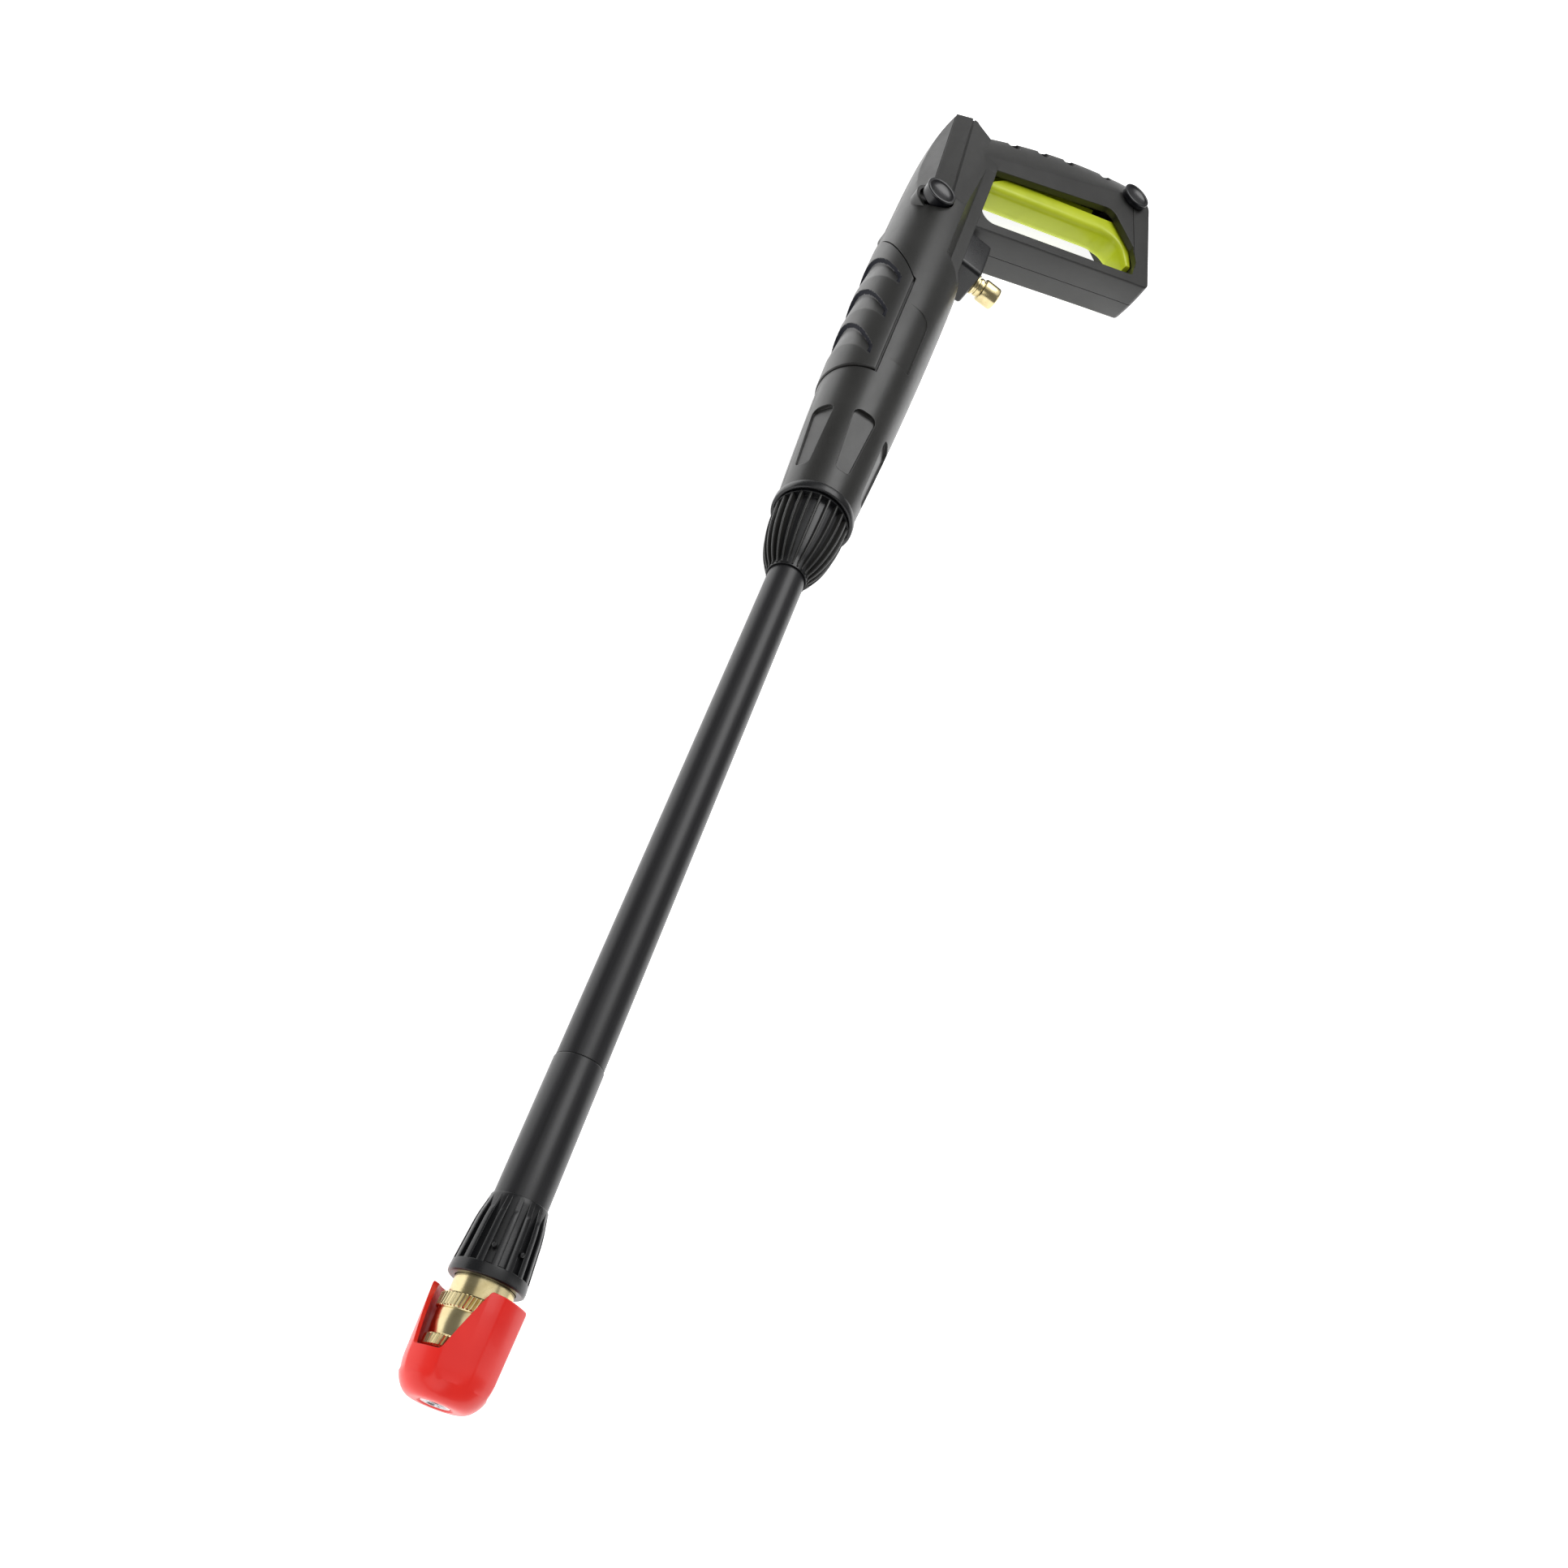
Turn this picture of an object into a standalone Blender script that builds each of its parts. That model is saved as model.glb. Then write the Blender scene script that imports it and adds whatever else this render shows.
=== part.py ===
"""Spray gun and lance of a pressure washer, as separate moulded, turned and sprung pieces.

The gun lies on its right side: the lance points along -Y, the handle along +X, the gun's left
side faces +Z. Sizes below are in millimetres, measured from the lance's axis (x = 0, z = 0) and
from the mouth of the barrel (y = 0). The last step stands the whole object on the ground.
"""

import math

import bmesh
import bpy
from mathutils import Vector

MM = 0.001
GAP = 0.3
SEAM_GAP = 0.3
WELD = 0.004

# Barrel of the gun
BARREL_START = 4.0
BARREL_MID = 260.0
BARREL_END = 431.0
BARREL_FRONT_RADIUS = 20.8
BARREL_MID_RADIUS = 28.7
BARREL_TAIL_RADIUS = 19.5
BARREL_WALL = 2.8
BARREL_SEGMENTS = 28
TURNED_SEGMENTS = 20
RIB_WIDTH = 3.0
RIB_PLACES = (150.0, 232.0)

# Handle loop: front bar, foot and grip, seen from the side
HANDLE_HALF_WIDTH = 16.0
HANDLE_REACH = 157.5
FRONT_BAR_ROOT = 303.3
FRONT_BAR_RAKE = math.radians(30.8)
FRONT_BAR_THICKNESS = 8.0
GRIP_ROOT = 380.4
GRIP_RAKE = math.radians(39.1)
GRIP_BACK_ROOT = 421.0
GRIP_BACK_RAKE = math.radians(35.3)
GRIP_PALM_SWELL = 7.5
KEEL_X = 20.0
KEEL_FRONT = 243.0
SIDE_FACET_TOP = 5.0
SIDE_FACET_FOOT = 12.0
SIDE_FACET_Z = 18.5
TAIL_UNDERSIDE_X = -6.5
FLANK_START = 298.0
SEAM_START = (-18.0, 22.5)
SEAM_END = (-19.4, 5.0)
BAND_START = (-6.6, 28.0)
BAND_END = (-8.2, 10.0)
CROWN_SLOPE = math.radians(49.0)
FOOT_WALL = 13.0
FOOT_LEAN = 13.5
LOOP_LEVELS = (1.0, 0.92, 0.82667, 0.66667, 0.36667)
LOOP_MIDDLE = (80.0, 400.0)
LOOP_EDGE = 0.7
WINDOW_ROOT = 20.0
WINDOW_GRIP_ROOT = 381.5
WINDOW_GRIP_RAKE = math.radians(35.0)
WINDOW_GUSSET = 26.0
NOTCH_RADIUS = 3.2
NOTCH_PLACES = (27.0, 50.0, 71.5, 103.5)

# Trigger and its pin
PIVOT_X = 12.0
PIVOT_Y = 350.0
PIN_RADIUS = 2.5
TRIGGER_HALF_WIDTH = 10.0
TRIGGER_ROOT_Y = 369.0
TRIGGER_RAKE = math.radians(30.5)
TRIGGER_DEPTH = 18.0
TRIGGER_RIB_DEPTH = 30.0
TRIGGER_HOOK = 22.0
TRIGGER_SIDE_GAP = 1.3
TRIGGER_SPRING_X = 38.0
TRIGGER_SPRING_RADIUS = 4.5
TRIGGER_SPRING_WIRE = 0.7

# Hand lock through the barrel
LOCK_X = -13.3
LOCK_Y = 284.0
LOCK_BUTTON_RADIUS = 10.4
LOCK_BUTTON_HEIGHT = 7.5
LOCK_TRAVEL = 5.0
LOCK_PROUD = 31.5
LOCK_SHAFT_RADIUS = 4.0
LOCK_BAR = 3.0
LOCK_BAR_SHORT = 8.0

# Valve, tubes and lance socket in the barrel
VALVE_FRONT = 240.3
VALVE_REAR = 318.0
VALVE_RADIUS = 8.5
VALVE_CHAMBER_RADIUS = 5.0
VALVE_CHAMBER = (262.0, 300.0)
PLUNGER_RADIUS = 2.2
PLUNGER_HEAD = 4.4
PLUNGER_BACK = 340.6
ARM_GAP = 0.7
OUTLET_RADIUS = 5.0
OUTLET_BORE = 2.5
SOCKET_START = 6.6
SOCKET_END = 58.0
SOCKET_RADIUS = 13.0
SOCKET_BORE = 8.5
SPIGOT_RADIUS = 7.6
SPIGOT_END = 44.0
LUG_REACH = 10.6
LUG_PLACE = 14.0
LUG_LENGTH = 5.0
LUG_WIDTH = 6.0
LUG_ROOM = 0.9

# Inlet block and hose plug
INLET_Y = 275.4
BLOCK_FRONT = 266.0
BLOCK_REAR = 302.5
BLOCK_HALF_WIDTH = 13.0
BLOCK_TOP = 16.0
BLOCK_FOOT = 37.5
PLUG_END = 56.0
PLUG_RADIUS = 7.4
PLUG_NECK_RADIUS = 6.0
PLUG_NECK_LENGTH = 7.6
PLUG_BORE = 2.6

# Foregrip pad and side strips
PAD_FRONT = 100.0
PAD_SIDE_END = 190.0
PAD_TOP_END = 243.0
PAD_HALF_ANGLE = math.radians(76.0)
PAD_PROUD = 0.9
PAD_DEPTH = 1.4
PAD_SCALLOPS = (147.0, 183.0, 218.0)
PAD_SCALLOP_DEPTH = 1.5
STRIP_START = 298.0
STRIP_PROUD = 0.4
STRIP_DEPTH = 1.2

# Foot caps on the grip
FOOT_CAP_X = 128.5
FOOT_CAP_Y = 480.0
FOOT_CAP_RADIUS = 11.0
FOOT_CAP_HEIGHT = 5.0
FOOT_BOLT_RADIUS = 3.0

# Casing screws: place along the casing, in x and y
SCREW_PLACES = ((-17.0, 68.0), (17.0, 90.0), (-17.0, 262.0), (18.0, 210.0), (62.0, 334.6), (-1.0, 394.0))
SCREW_RADIUS = 1.5
SCREW_HEAD_RADIUS = 3.0
SCREW_HEAD = 2.2
SCREW_BOSS_RADIUS = 4.2
SCREW_LENGTH = 14.0

# Lance
TUBE_RADIUS = 9.5
TUBE_BORE = 7.6
TUBE_REAR = -12.0
SLEEVE_REAR = -316.4
SLEEVE_RADIUS = 9.85
INNER_TUBE_RADIUS = 4.0
INNER_TUBE_BORE = 2.5
COLLAR_REAR = -0.4
COLLAR_FRONT = -47.0
COLLAR_RADIUS = 19.8
COLLAR_RIBS = 20
COLLAR_RIB_DEPTH = 1.3
LIP_RADIUS = 21.9
CONE_REAR = -370.0
CONE_FRONT = -398.0
CONE_REAR_RADIUS = 11.0
CONE_SHOULDER = 6.0
CONE_SHOULDER_RADIUS = 11.9
CONE_FRONT_RADIUS = 13.7
CONE_RIBS = 16
CONE_RIB_DEPTH = 1.0
CONE_RIM = 4.0
PEG_RADIUS = 0.9
PEG_PLACES = ((-388.0, 5), (-387.5, 3))

# Quick coupler and spray tip
COUPLER_REAR = -391.0
COLLAR_BRASS_RADIUS = 10.45
COLLAR_BRASS_FRONT = -404.6
COUPLER_FRONT = -422.2
COUPLER_RADIUS = 8.3
COUPLER_BORE = 5.3
KNURL_RADIUS = 12.4
KNURL_TEETH = 22
KNURL_DEPTH = 0.45
SLEEVE_LAND = 8.6
SLEEVE_START = -404.3
SLEEVE_END = -421.3
SPRING_SHELF = SLEEVE_START - 7.6
SLEEVE_FLARE = 0.30
BALL_Y = -413.5
BALL_RADIUS = 2.0
BALL_PLACE = 6.4
BALL_COUNT = 4
TIP_RADIUS = 5.0
TIP_REAR = -399.9
TIP_FRONT = -433.8
GUARD_TIP = -435.6
GUARD_FLOOR = -423.0
GUARD_REAR = -402.0
GUARD_RADIUS = 16.6
GUARD_FRONT_RADIUS = 15.8
GUARD_WALL = 2.4
GUARD_HOLE = 5.5
GUARD_WINDOW = math.radians(54.0)


def clear_scene():
    for thing in list(bpy.data.objects):
        bpy.data.objects.remove(thing, do_unlink=True)


def finish(name, rough, metal, colour):
    """A plain Principled material."""
    material = bpy.data.materials.new(name)
    material.use_nodes = True
    shader = material.node_tree.nodes["Principled BSDF"]
    shader.inputs["Base Color"].default_value = (*colour, 1.0)
    shader.inputs["Roughness"].default_value = rough
    shader.inputs["Metallic"].default_value = metal
    return material


def solid(name, points, faces, material=None):
    """A closed mesh object from points in millimetres, its faces turned outwards."""
    mesh = bpy.data.meshes.new(name)
    mesh.from_pydata([[c * MM for c in p] for p in points], [], faces)
    work = bmesh.new()
    work.from_mesh(mesh)
    bmesh.ops.remove_doubles(work, verts=work.verts, dist=1e-7)
    bmesh.ops.recalc_face_normals(work, faces=work.faces)
    work.to_mesh(mesh)
    work.free()
    thing = bpy.data.objects.new(name, mesh)
    bpy.context.collection.objects.link(thing)
    if material:
        mesh.materials.append(material)
        mesh.shade_smooth()
        mesh.set_sharp_from_angle(angle=math.radians(35))
    return thing


def loft(name, rings, material=None, closed=False):
    """Joins rings of equal length; the first and last are capped unless they meet."""
    count = len(rings[0])
    points = [p for ring in rings for p in ring]
    faces = []
    for i in range(len(rings) - (0 if closed else 1)):
        a = i * count
        b = (i + 1) % len(rings) * count
        for j in range(count):
            k = (j + 1) % count
            faces.append((a + j, a + k, b + k, b + j))
    if not closed:
        faces.append(tuple(range(count)))
        faces.append(tuple(range(len(points) - count, len(points))))
    return solid(name, points, faces, material)


def around(axis, along, radius, angle, at):
    """A point at a radius and angle about an axis that passes through `at`."""
    u = radius * math.cos(angle)
    v = radius * math.sin(angle)
    if axis == "Y":
        return (at[0] + u, along, at[1] + v)
    if axis == "X":
        return (along, at[0] + u, at[1] + v)
    return (at[0] + u, at[1] + v, along)


def turned(name, profile, material=None, axis="Y", at=(0.0, 0.0), segments=TURNED_SEGMENTS, bored=False, wave=None):
    """A turned solid. The profile holds (along, radius); a bored one is a closed outline."""
    rings = []
    for along, radius in profile:
        ring = []
        for i in range(segments):
            angle = math.tau * i / segments
            cut = wave(i, along, radius) if wave else 0.0
            ring.append(around(axis, along, max(radius - cut, 0.02), angle, at))
        rings.append(ring)
    return loft(name, rings, material, closed=bored)


def tube(name, start, end, outer, bore, material, segments=TURNED_SEGMENTS, axis="Y", at=(0.0, 0.0)):
    profile = ((start, bore), (start, outer), (end, outer), (end, bore))
    return turned(name, profile, material, axis, at, segments, bored=True)


def slab(name, outline, low, high, material=None):
    """An outline in x and y, extruded along z."""
    return loft(name, [[(x, y, z) for x, y in outline] for z in (low, high)], material)


def inset(outline, depth):
    """The outline moved inwards by a depth, its corners kept sharp."""
    count = len(outline)
    points = [Vector(p) for p in outline]
    area = sum(points[i - 1].cross(points[i]) for i in range(count))
    turn = 1.0 if area > 0 else -1.0
    moved = []
    for i in range(count):
        a = (points[i] - points[i - 1]).normalized()
        b = (points[(i + 1) % count] - points[i]).normalized()
        normal_a = Vector((-a.y, a.x)) * turn
        normal_b = Vector((-b.y, b.x)) * turn
        bisector = (normal_a + normal_b).normalized()
        moved.append(tuple(points[i] + bisector * (depth / bisector.dot(normal_a))))
    return moved


def soft_slab(name, outline, half, edge, material=None):
    """A slab about the middle plane with its long edges rounded."""
    rings = []
    for depth, drop in ((edge, 0.0), (edge * 0.3, edge * 0.3), (0.0, edge)):
        rings.append([(x, y, drop - half) for x, y in inset(outline, depth)])
    rings += [[(x, y, -z) for x, y, z in ring] for ring in reversed(rings)]
    return loft(name, rings, material)


def box(name, low, high, material=None):
    outline = ((low[0], low[1]), (high[0], low[1]), (high[0], high[1]), (low[0], high[1]))
    return slab(name, outline, low[2], high[2], material)


def combine(target, other, operation):
    """Applies one Boolean to the target and removes the tool."""
    step = target.modifiers.new(operation.title(), "BOOLEAN")
    step.operation = operation
    step.object = other
    step.solver = "EXACT"
    graph = bpy.context.evaluated_depsgraph_get()
    mesh = bpy.data.meshes.new_from_object(target.evaluated_get(graph))
    work = bmesh.new()
    work.from_mesh(mesh)
    bmesh.ops.remove_doubles(work, verts=work.verts, dist=WELD * MM)
    work.to_mesh(mesh)
    work.free()
    target.modifiers.clear()
    old = target.data
    mesh.name = old.name
    target.data = mesh
    bpy.data.meshes.remove(old)
    bpy.data.objects.remove(other, do_unlink=True)
    return target


def cut(target, *tools):
    for tool in tools:
        combine(target, tool, "DIFFERENCE")
    return target


def join(target, *others):
    for other in others:
        combine(target, other, "UNION")
    return target


def barrel_radius(y):
    if y < BARREL_MID:
        share = (BARREL_MID - y) / (BARREL_MID - BARREL_START)
        return BARREL_MID_RADIUS - (BARREL_MID_RADIUS - BARREL_FRONT_RADIUS) * share**2
    share = (y - BARREL_MID) / (BARREL_END - BARREL_MID)
    return BARREL_MID_RADIUS - (BARREL_MID_RADIUS - BARREL_TAIL_RADIUS) * share**3.5


def spread(start, end, count):
    return [start + (end - start) * i / (count - 1) for i in range(count)]


def barrel_solid():
    front = [(y, barrel_radius(y)) for y in spread(BARREL_START, BARREL_MID, 9)]
    rear = [(y, barrel_radius(y)) for y in spread(BARREL_MID, BARREL_END - 1.0, 10)[1:]]
    tail = [(BARREL_END, BARREL_TAIL_RADIUS - 1.5)]
    return turned("barrel", front + rear + tail, segments=BARREL_SEGMENTS)


def plane_block(name, points, side, inset=0.0):
    """A block that stands on the outer side of a plane through three points of the casing."""
    a, b, c = (Vector((p[0], p[1], side * p[2])) for p in points)
    along = (b - a).normalized()
    out = along.cross(c - a).normalized()
    if out.z * side < 0:
        out = -out
    across = out.cross(along)
    base = a - out * inset
    corners = [base + along * u + across * v for u, v in ((-180, -90), (260, -90), (260, 90), (-180, 90))]
    return loft(name, [[tuple(p + out * lift) for p in corners] for lift in (0.0, 45.0)])


def keel_tools(inset):
    """Solids outside the casing's flat keel, sloping sides and tail flanks, moved inwards by an inset."""
    keel = KEEL_X - inset
    under = TAIL_UNDERSIDE_X - inset
    outline = [(keel, KEEL_FRONT), (keel, 400.0), (8.0 - inset, 421.0), (under + 4.0, 429.0), (under, 436.0)]
    outline += [(under, 500.0), (80.0, 500.0), (80.0, 190.0), (keel + 11.0, KEEL_FRONT - 29.0)]
    tools = [slab("keel", outline, -60.0, 60.0)]
    top = math.sqrt(BARREL_MID_RADIUS**2 - SIDE_FACET_TOP**2)
    seam = [(SEAM_START[0], FLANK_START, SEAM_START[1]), (SEAM_END[0], BARREL_END, SEAM_END[1])]
    crown = (SEAM_START[0] - math.cos(CROWN_SLOPE), FLANK_START, SEAM_START[1] - math.sin(CROWN_SLOPE))
    edge = (BAND_START[0], FLANK_START, BAND_START[1])
    flank = [edge, (BAND_END[0], BARREL_END, BAND_END[1]), (edge[0] + 10.0, edge[1], edge[2])]
    for side in (1, -1):
        edges = [(SIDE_FACET_TOP - inset, top + 0.5), (SIDE_FACET_FOOT - inset, SIDE_FACET_Z - inset / 2)]
        edges += [(KEEL_X + 20.0, HANDLE_HALF_WIDTH - inset / 2), (KEEL_X + 20.0, 60.0)]
        edges += [(SIDE_FACET_TOP - inset, 60.0)]
        rings = [[(x, y + (x - 5.0) * rake, side * z) for x, z in edges] for y, rake in ((236.0, -0.4), (500.0, 0.0))]
        tools.append(loft("facet", rings))
        tools.append(plane_block("band", seam + [edge], side, inset))
        tools.append(plane_block("crown", seam + [crown], side, inset))
        tools.append(plane_block("flank", flank, side, inset))
    return tools


def barrel_hollow():
    """The room inside the barrel, stepped in at the ribs that hold the outlet tube."""
    start = BARREL_START + BARREL_WALL
    end = BARREL_END - BARREL_WALL - 2.0
    profile = [(BARREL_START - 1.0, SOCKET_RADIUS + GAP), (start, SOCKET_RADIUS + GAP)]
    stops = [start + 0.01]
    for place in RIB_PLACES:
        stops += [place, place + RIB_WIDTH]
    stops.append(end)
    for low, high in zip(stops[0::2], stops[1::2]):
        for y in spread(low, high, max(2, round((high - low) / 45))):
            profile.append((y, barrel_radius(y) - BARREL_WALL))
        if high != end:
            profile.append((high + 0.01, OUTLET_RADIUS + GAP))
            profile.append((high + RIB_WIDTH - 0.01, OUTLET_RADIUS + GAP))
    hollow = turned("hollow", profile, segments=BARREL_SEGMENTS)
    return cut(hollow, *keel_tools(BARREL_WALL))


def front_edge(x):
    return FRONT_BAR_ROOT + (x - 17.7) * math.tan(FRONT_BAR_RAKE)


def grip_side_edge(x):
    """Where the flat side of the grip ends and its sloping back starts."""
    return GRIP_ROOT + x * math.tan(GRIP_RAKE)


def grip_back(x):
    share = (x - 8.0) / 116.0
    bulge = GRIP_PALM_SWELL * 4 * share * (1 - share)
    return GRIP_BACK_ROOT + (x - 8.0) * math.tan(GRIP_BACK_RAKE) + bulge


def foot_edge(y):
    """The x of the loop's outer end at a given y."""
    return HANDLE_REACH + 0.5 - (y - front_edge(HANDLE_REACH)) * FOOT_LEAN / 98.0


def corner(before, tip, after, radius, steps=4):
    """A rounded corner as points on an arc that touches both edges."""
    tip = Vector(tip)
    a = (Vector(before) - tip).normalized()
    b = (Vector(after) - tip).normalized()
    half = a.angle(b) / 2
    centre = tip + (a + b).normalized() * (radius / math.sin(half))
    start = (tip + a * (radius / math.tan(half)) - centre).normalized()
    end = (tip + b * (radius / math.tan(half)) - centre).normalized()
    return [tuple(centre + start.slerp(end, i / steps) * radius) for i in range(steps + 1)]


def loop_outline(height):
    """The loop's outer outline at one height from the casing's middle plane."""
    width = HANDLE_HALF_WIDTH
    crown = 2.5 * (1 - (height / width) ** 2)
    back_share = min(1.0, (width - height) / 5.0) ** 0.8
    round_off = 7.0 * (1 - (min(height, 10.0) / 10.0) ** 2)

    def back(x):
        side = grip_side_edge(x)
        return side + (grip_back(x) - side) * back_share + round_off

    front_tip = (foot_edge(front_edge(HANDLE_REACH)), front_edge(HANDLE_REACH) - crown)
    back_x = foot_edge(back(HANDLE_REACH - 15.0))
    back_tip = (back_x, back(back_x))
    root = (2.0, front_edge(2.0) - crown)
    outline = [root]
    outline += corner(root, front_tip, back_tip, 7.0)
    outline += corner(front_tip, back_tip, (back_x - 20.0, back(back_x - 20.0)), 8.0)
    outline += [(x, back(x)) for x in spread(back_x - 16.0, 2.0, 9)]
    return outline


def handle_loop():
    rings = []
    for share in LOOP_LEVELS + (0.0,) + tuple(-level for level in reversed(LOOP_LEVELS)):
        level = share * HANDLE_HALF_WIDTH
        ring = [(x, y, level) for x, y in loop_outline(abs(level))]
        if abs(share) == 1.0:
            middle = Vector((LOOP_MIDDLE[0], LOOP_MIDDLE[1], level))
            ring = [tuple(Vector(p) + (middle - Vector(p)).normalized() * LOOP_EDGE) for p in ring]
        rings.append(ring)
    loop = loft("loop", rings)
    cheek = [(-8.0, 431.0, 9.0), (-8.0, 380.0, 17.0), (14.0, 405.0, HANDLE_HALF_WIDTH)]
    return cut(loop, plane_block("cheek", cheek, 1), plane_block("cheek", cheek, -1))


def window_edges():
    """Corners of the loop's window: barrel and front bar, barrel and grip, gusset, foot."""
    bar_inner = FRONT_BAR_THICKNESS / math.cos(FRONT_BAR_RAKE)
    foot_x = HANDLE_REACH - FOOT_WALL - 1.0
    front_root = (WINDOW_ROOT, front_edge(WINDOW_ROOT) + bar_inner)
    front_foot = (foot_x - 1.0, front_edge(foot_x) + bar_inner)
    foot = (foot_x, front_foot[1] + 18.0)
    gusset_x = foot_x - WINDOW_GUSSET - 3.0
    gusset = (gusset_x, WINDOW_GRIP_ROOT + (gusset_x - WINDOW_ROOT) * math.tan(WINDOW_GRIP_RAKE))
    gusset_foot = (foot_x - 5.0, gusset[1] - 26.0)
    grip_root = (WINDOW_ROOT, WINDOW_GRIP_ROOT)
    return front_root, front_foot, foot, gusset_foot, gusset, grip_root


def loop_window():
    front_root, front_foot, foot, gusset_foot, gusset, grip_root = window_edges()
    outline = corner(grip_root, front_root, front_foot, 8.0)
    outline += corner(front_root, front_foot, foot, 4.0)
    outline += [foot, gusset_foot, gusset, grip_root]
    reach = BARREL_MID_RADIUS + 5.0
    return slab("window", outline, -reach, reach)


def trigger_front(x):
    return TRIGGER_ROOT_Y + (x - 21.0) * math.tan(TRIGGER_RAKE)


def trigger_room():
    """The channel that the trigger swings back into, with a narrower slot for its rib."""
    wide = TRIGGER_HALF_WIDTH + TRIGGER_SIDE_GAP
    foot_x = HANDLE_REACH - FOOT_WALL + 1.5
    outline = [(6.0, PIVOT_Y - 12.0), (WINDOW_ROOT + 4.0, PIVOT_Y - 12.0)]
    outline += [(foot_x - 8.0, trigger_front(foot_x) - 36.0), (foot_x, trigger_front(foot_x) - 40.0)]
    outline += [(foot_x - 10.0, 459.0), (foot_x - 25.0, 476.0), (100.0, grip_side_edge(100.0) + 14.0)]
    outline += [(30.0, grip_side_edge(30.0) + 14.0), (6.0, 396.0)]
    slot = [(20.0, 380.0), (108.0, 440.0), (116.0, 470.0), (116.0, grip_back(116.0) - 9.0)]
    slot += [(x, grip_back(x) - 8.0) for x in (95.0, 70.0, 45.0, 26.0)]
    room = slab("room", outline, -wide, wide)
    return join(room, slab("rib_room", slot, -7.5, 7.5))


def pad_end(angle):
    share = min(1.0, abs(angle) / PAD_HALF_ANGLE)
    return PAD_TOP_END - (PAD_TOP_END - PAD_SIDE_END) * share**1.3


def patch(name, angles, start, end, inner, outer, columns, rows, material=None):
    """A curved plate on the barrel. Angles are from the top (-X) towards the left side (+Z)."""
    rings = []
    for i in range(columns):
        angle = angles[0] + (angles[1] - angles[0]) * i / (columns - 1)
        low = start(angle)
        high = end(angle)
        places = spread(low, high, rows)
        ring = [(y, outer(y, angle)) for y in places]
        ring += [(y, inner(y)) for y in reversed(places)]
        rings.append([(-r * math.cos(angle), y, r * math.sin(angle)) for y, r in ring])
    return loft(name, rings, material)


def pad_patch(name, margin, deep, proud, material=None):
    spare = margin / BARREL_MID_RADIUS

    def outer(y, angle):
        wave = 0.0
        if not margin:
            for place in PAD_SCALLOPS:
                wave += PAD_SCALLOP_DEPTH * math.exp(-(((y - place) / 7.0) ** 2))
        return barrel_radius(y) + proud - wave * math.cos(angle / 1.6)

    return patch(
        name,
        (-PAD_HALF_ANGLE - spare, PAD_HALF_ANGLE + spare),
        lambda angle: PAD_FRONT - margin,
        lambda angle: pad_end(angle) + 2 * margin,
        lambda y: barrel_radius(y) - deep,
        outer,
        12,
        13,
        material,
    )


def strip_slab(name, side, margin, deep, proud, material=None):
    """The flat strip let into the band between the seam and the flank."""
    rings = []
    end = BARREL_END - 1.2 + (12.0 if margin else 0.0)
    seam = Vector((SEAM_END[0] - SEAM_START[0], BARREL_END - FLANK_START, SEAM_END[1] - SEAM_START[1]))
    across = Vector((BAND_START[0] - SEAM_START[0], 0.0, BAND_START[1] - SEAM_START[1])).normalized()
    out = across.cross(seam).normalized()
    out = -out if out.z < 0 else out
    for y in (STRIP_START - margin, end):
        share = (y - FLANK_START) / (BARREL_END - FLANK_START)
        ring = []
        for start, stop, edge in ((SEAM_START, SEAM_END, -margin), (BAND_START, BAND_END, margin * 4)):
            x = start[0] + (stop[0] - start[0]) * share
            z = start[1] + (stop[1] - start[1]) * share
            place = Vector((x, y, z)) + across * edge
            for lift in (-deep, proud):
                ring.append(place + out * lift)
        ring = [ring[0], ring[1], ring[3], ring[2]]
        rings.append([(p.x, p.y, side * p.z) for p in ring])
    return loft(name, rings, material)


def flank_height(x, y):
    """How far the barrel's side stands from the middle plane."""
    reach = math.sqrt(max(barrel_radius(y) ** 2 - x**2, 1.0))
    if y < FLANK_START:
        return reach
    share = (y - FLANK_START) / (BARREL_END - FLANK_START)
    seam_z = SEAM_START[1] + (SEAM_END[1] - SEAM_START[1]) * share
    band_z = BAND_START[1] + (BAND_END[1] - BAND_START[1]) * share
    slope = (BAND_START[1] - SEAM_START[1]) / (BAND_START[0] - SEAM_START[0])
    return min(reach, band_z, seam_z + (x - SEAM_START[0]) * slope)


def screw_top(x, y):
    """How far the casing's side stands from the middle plane at a screw."""
    if x < KEEL_X:
        return flank_height(x, y)
    return HANDLE_HALF_WIDTH


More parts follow.
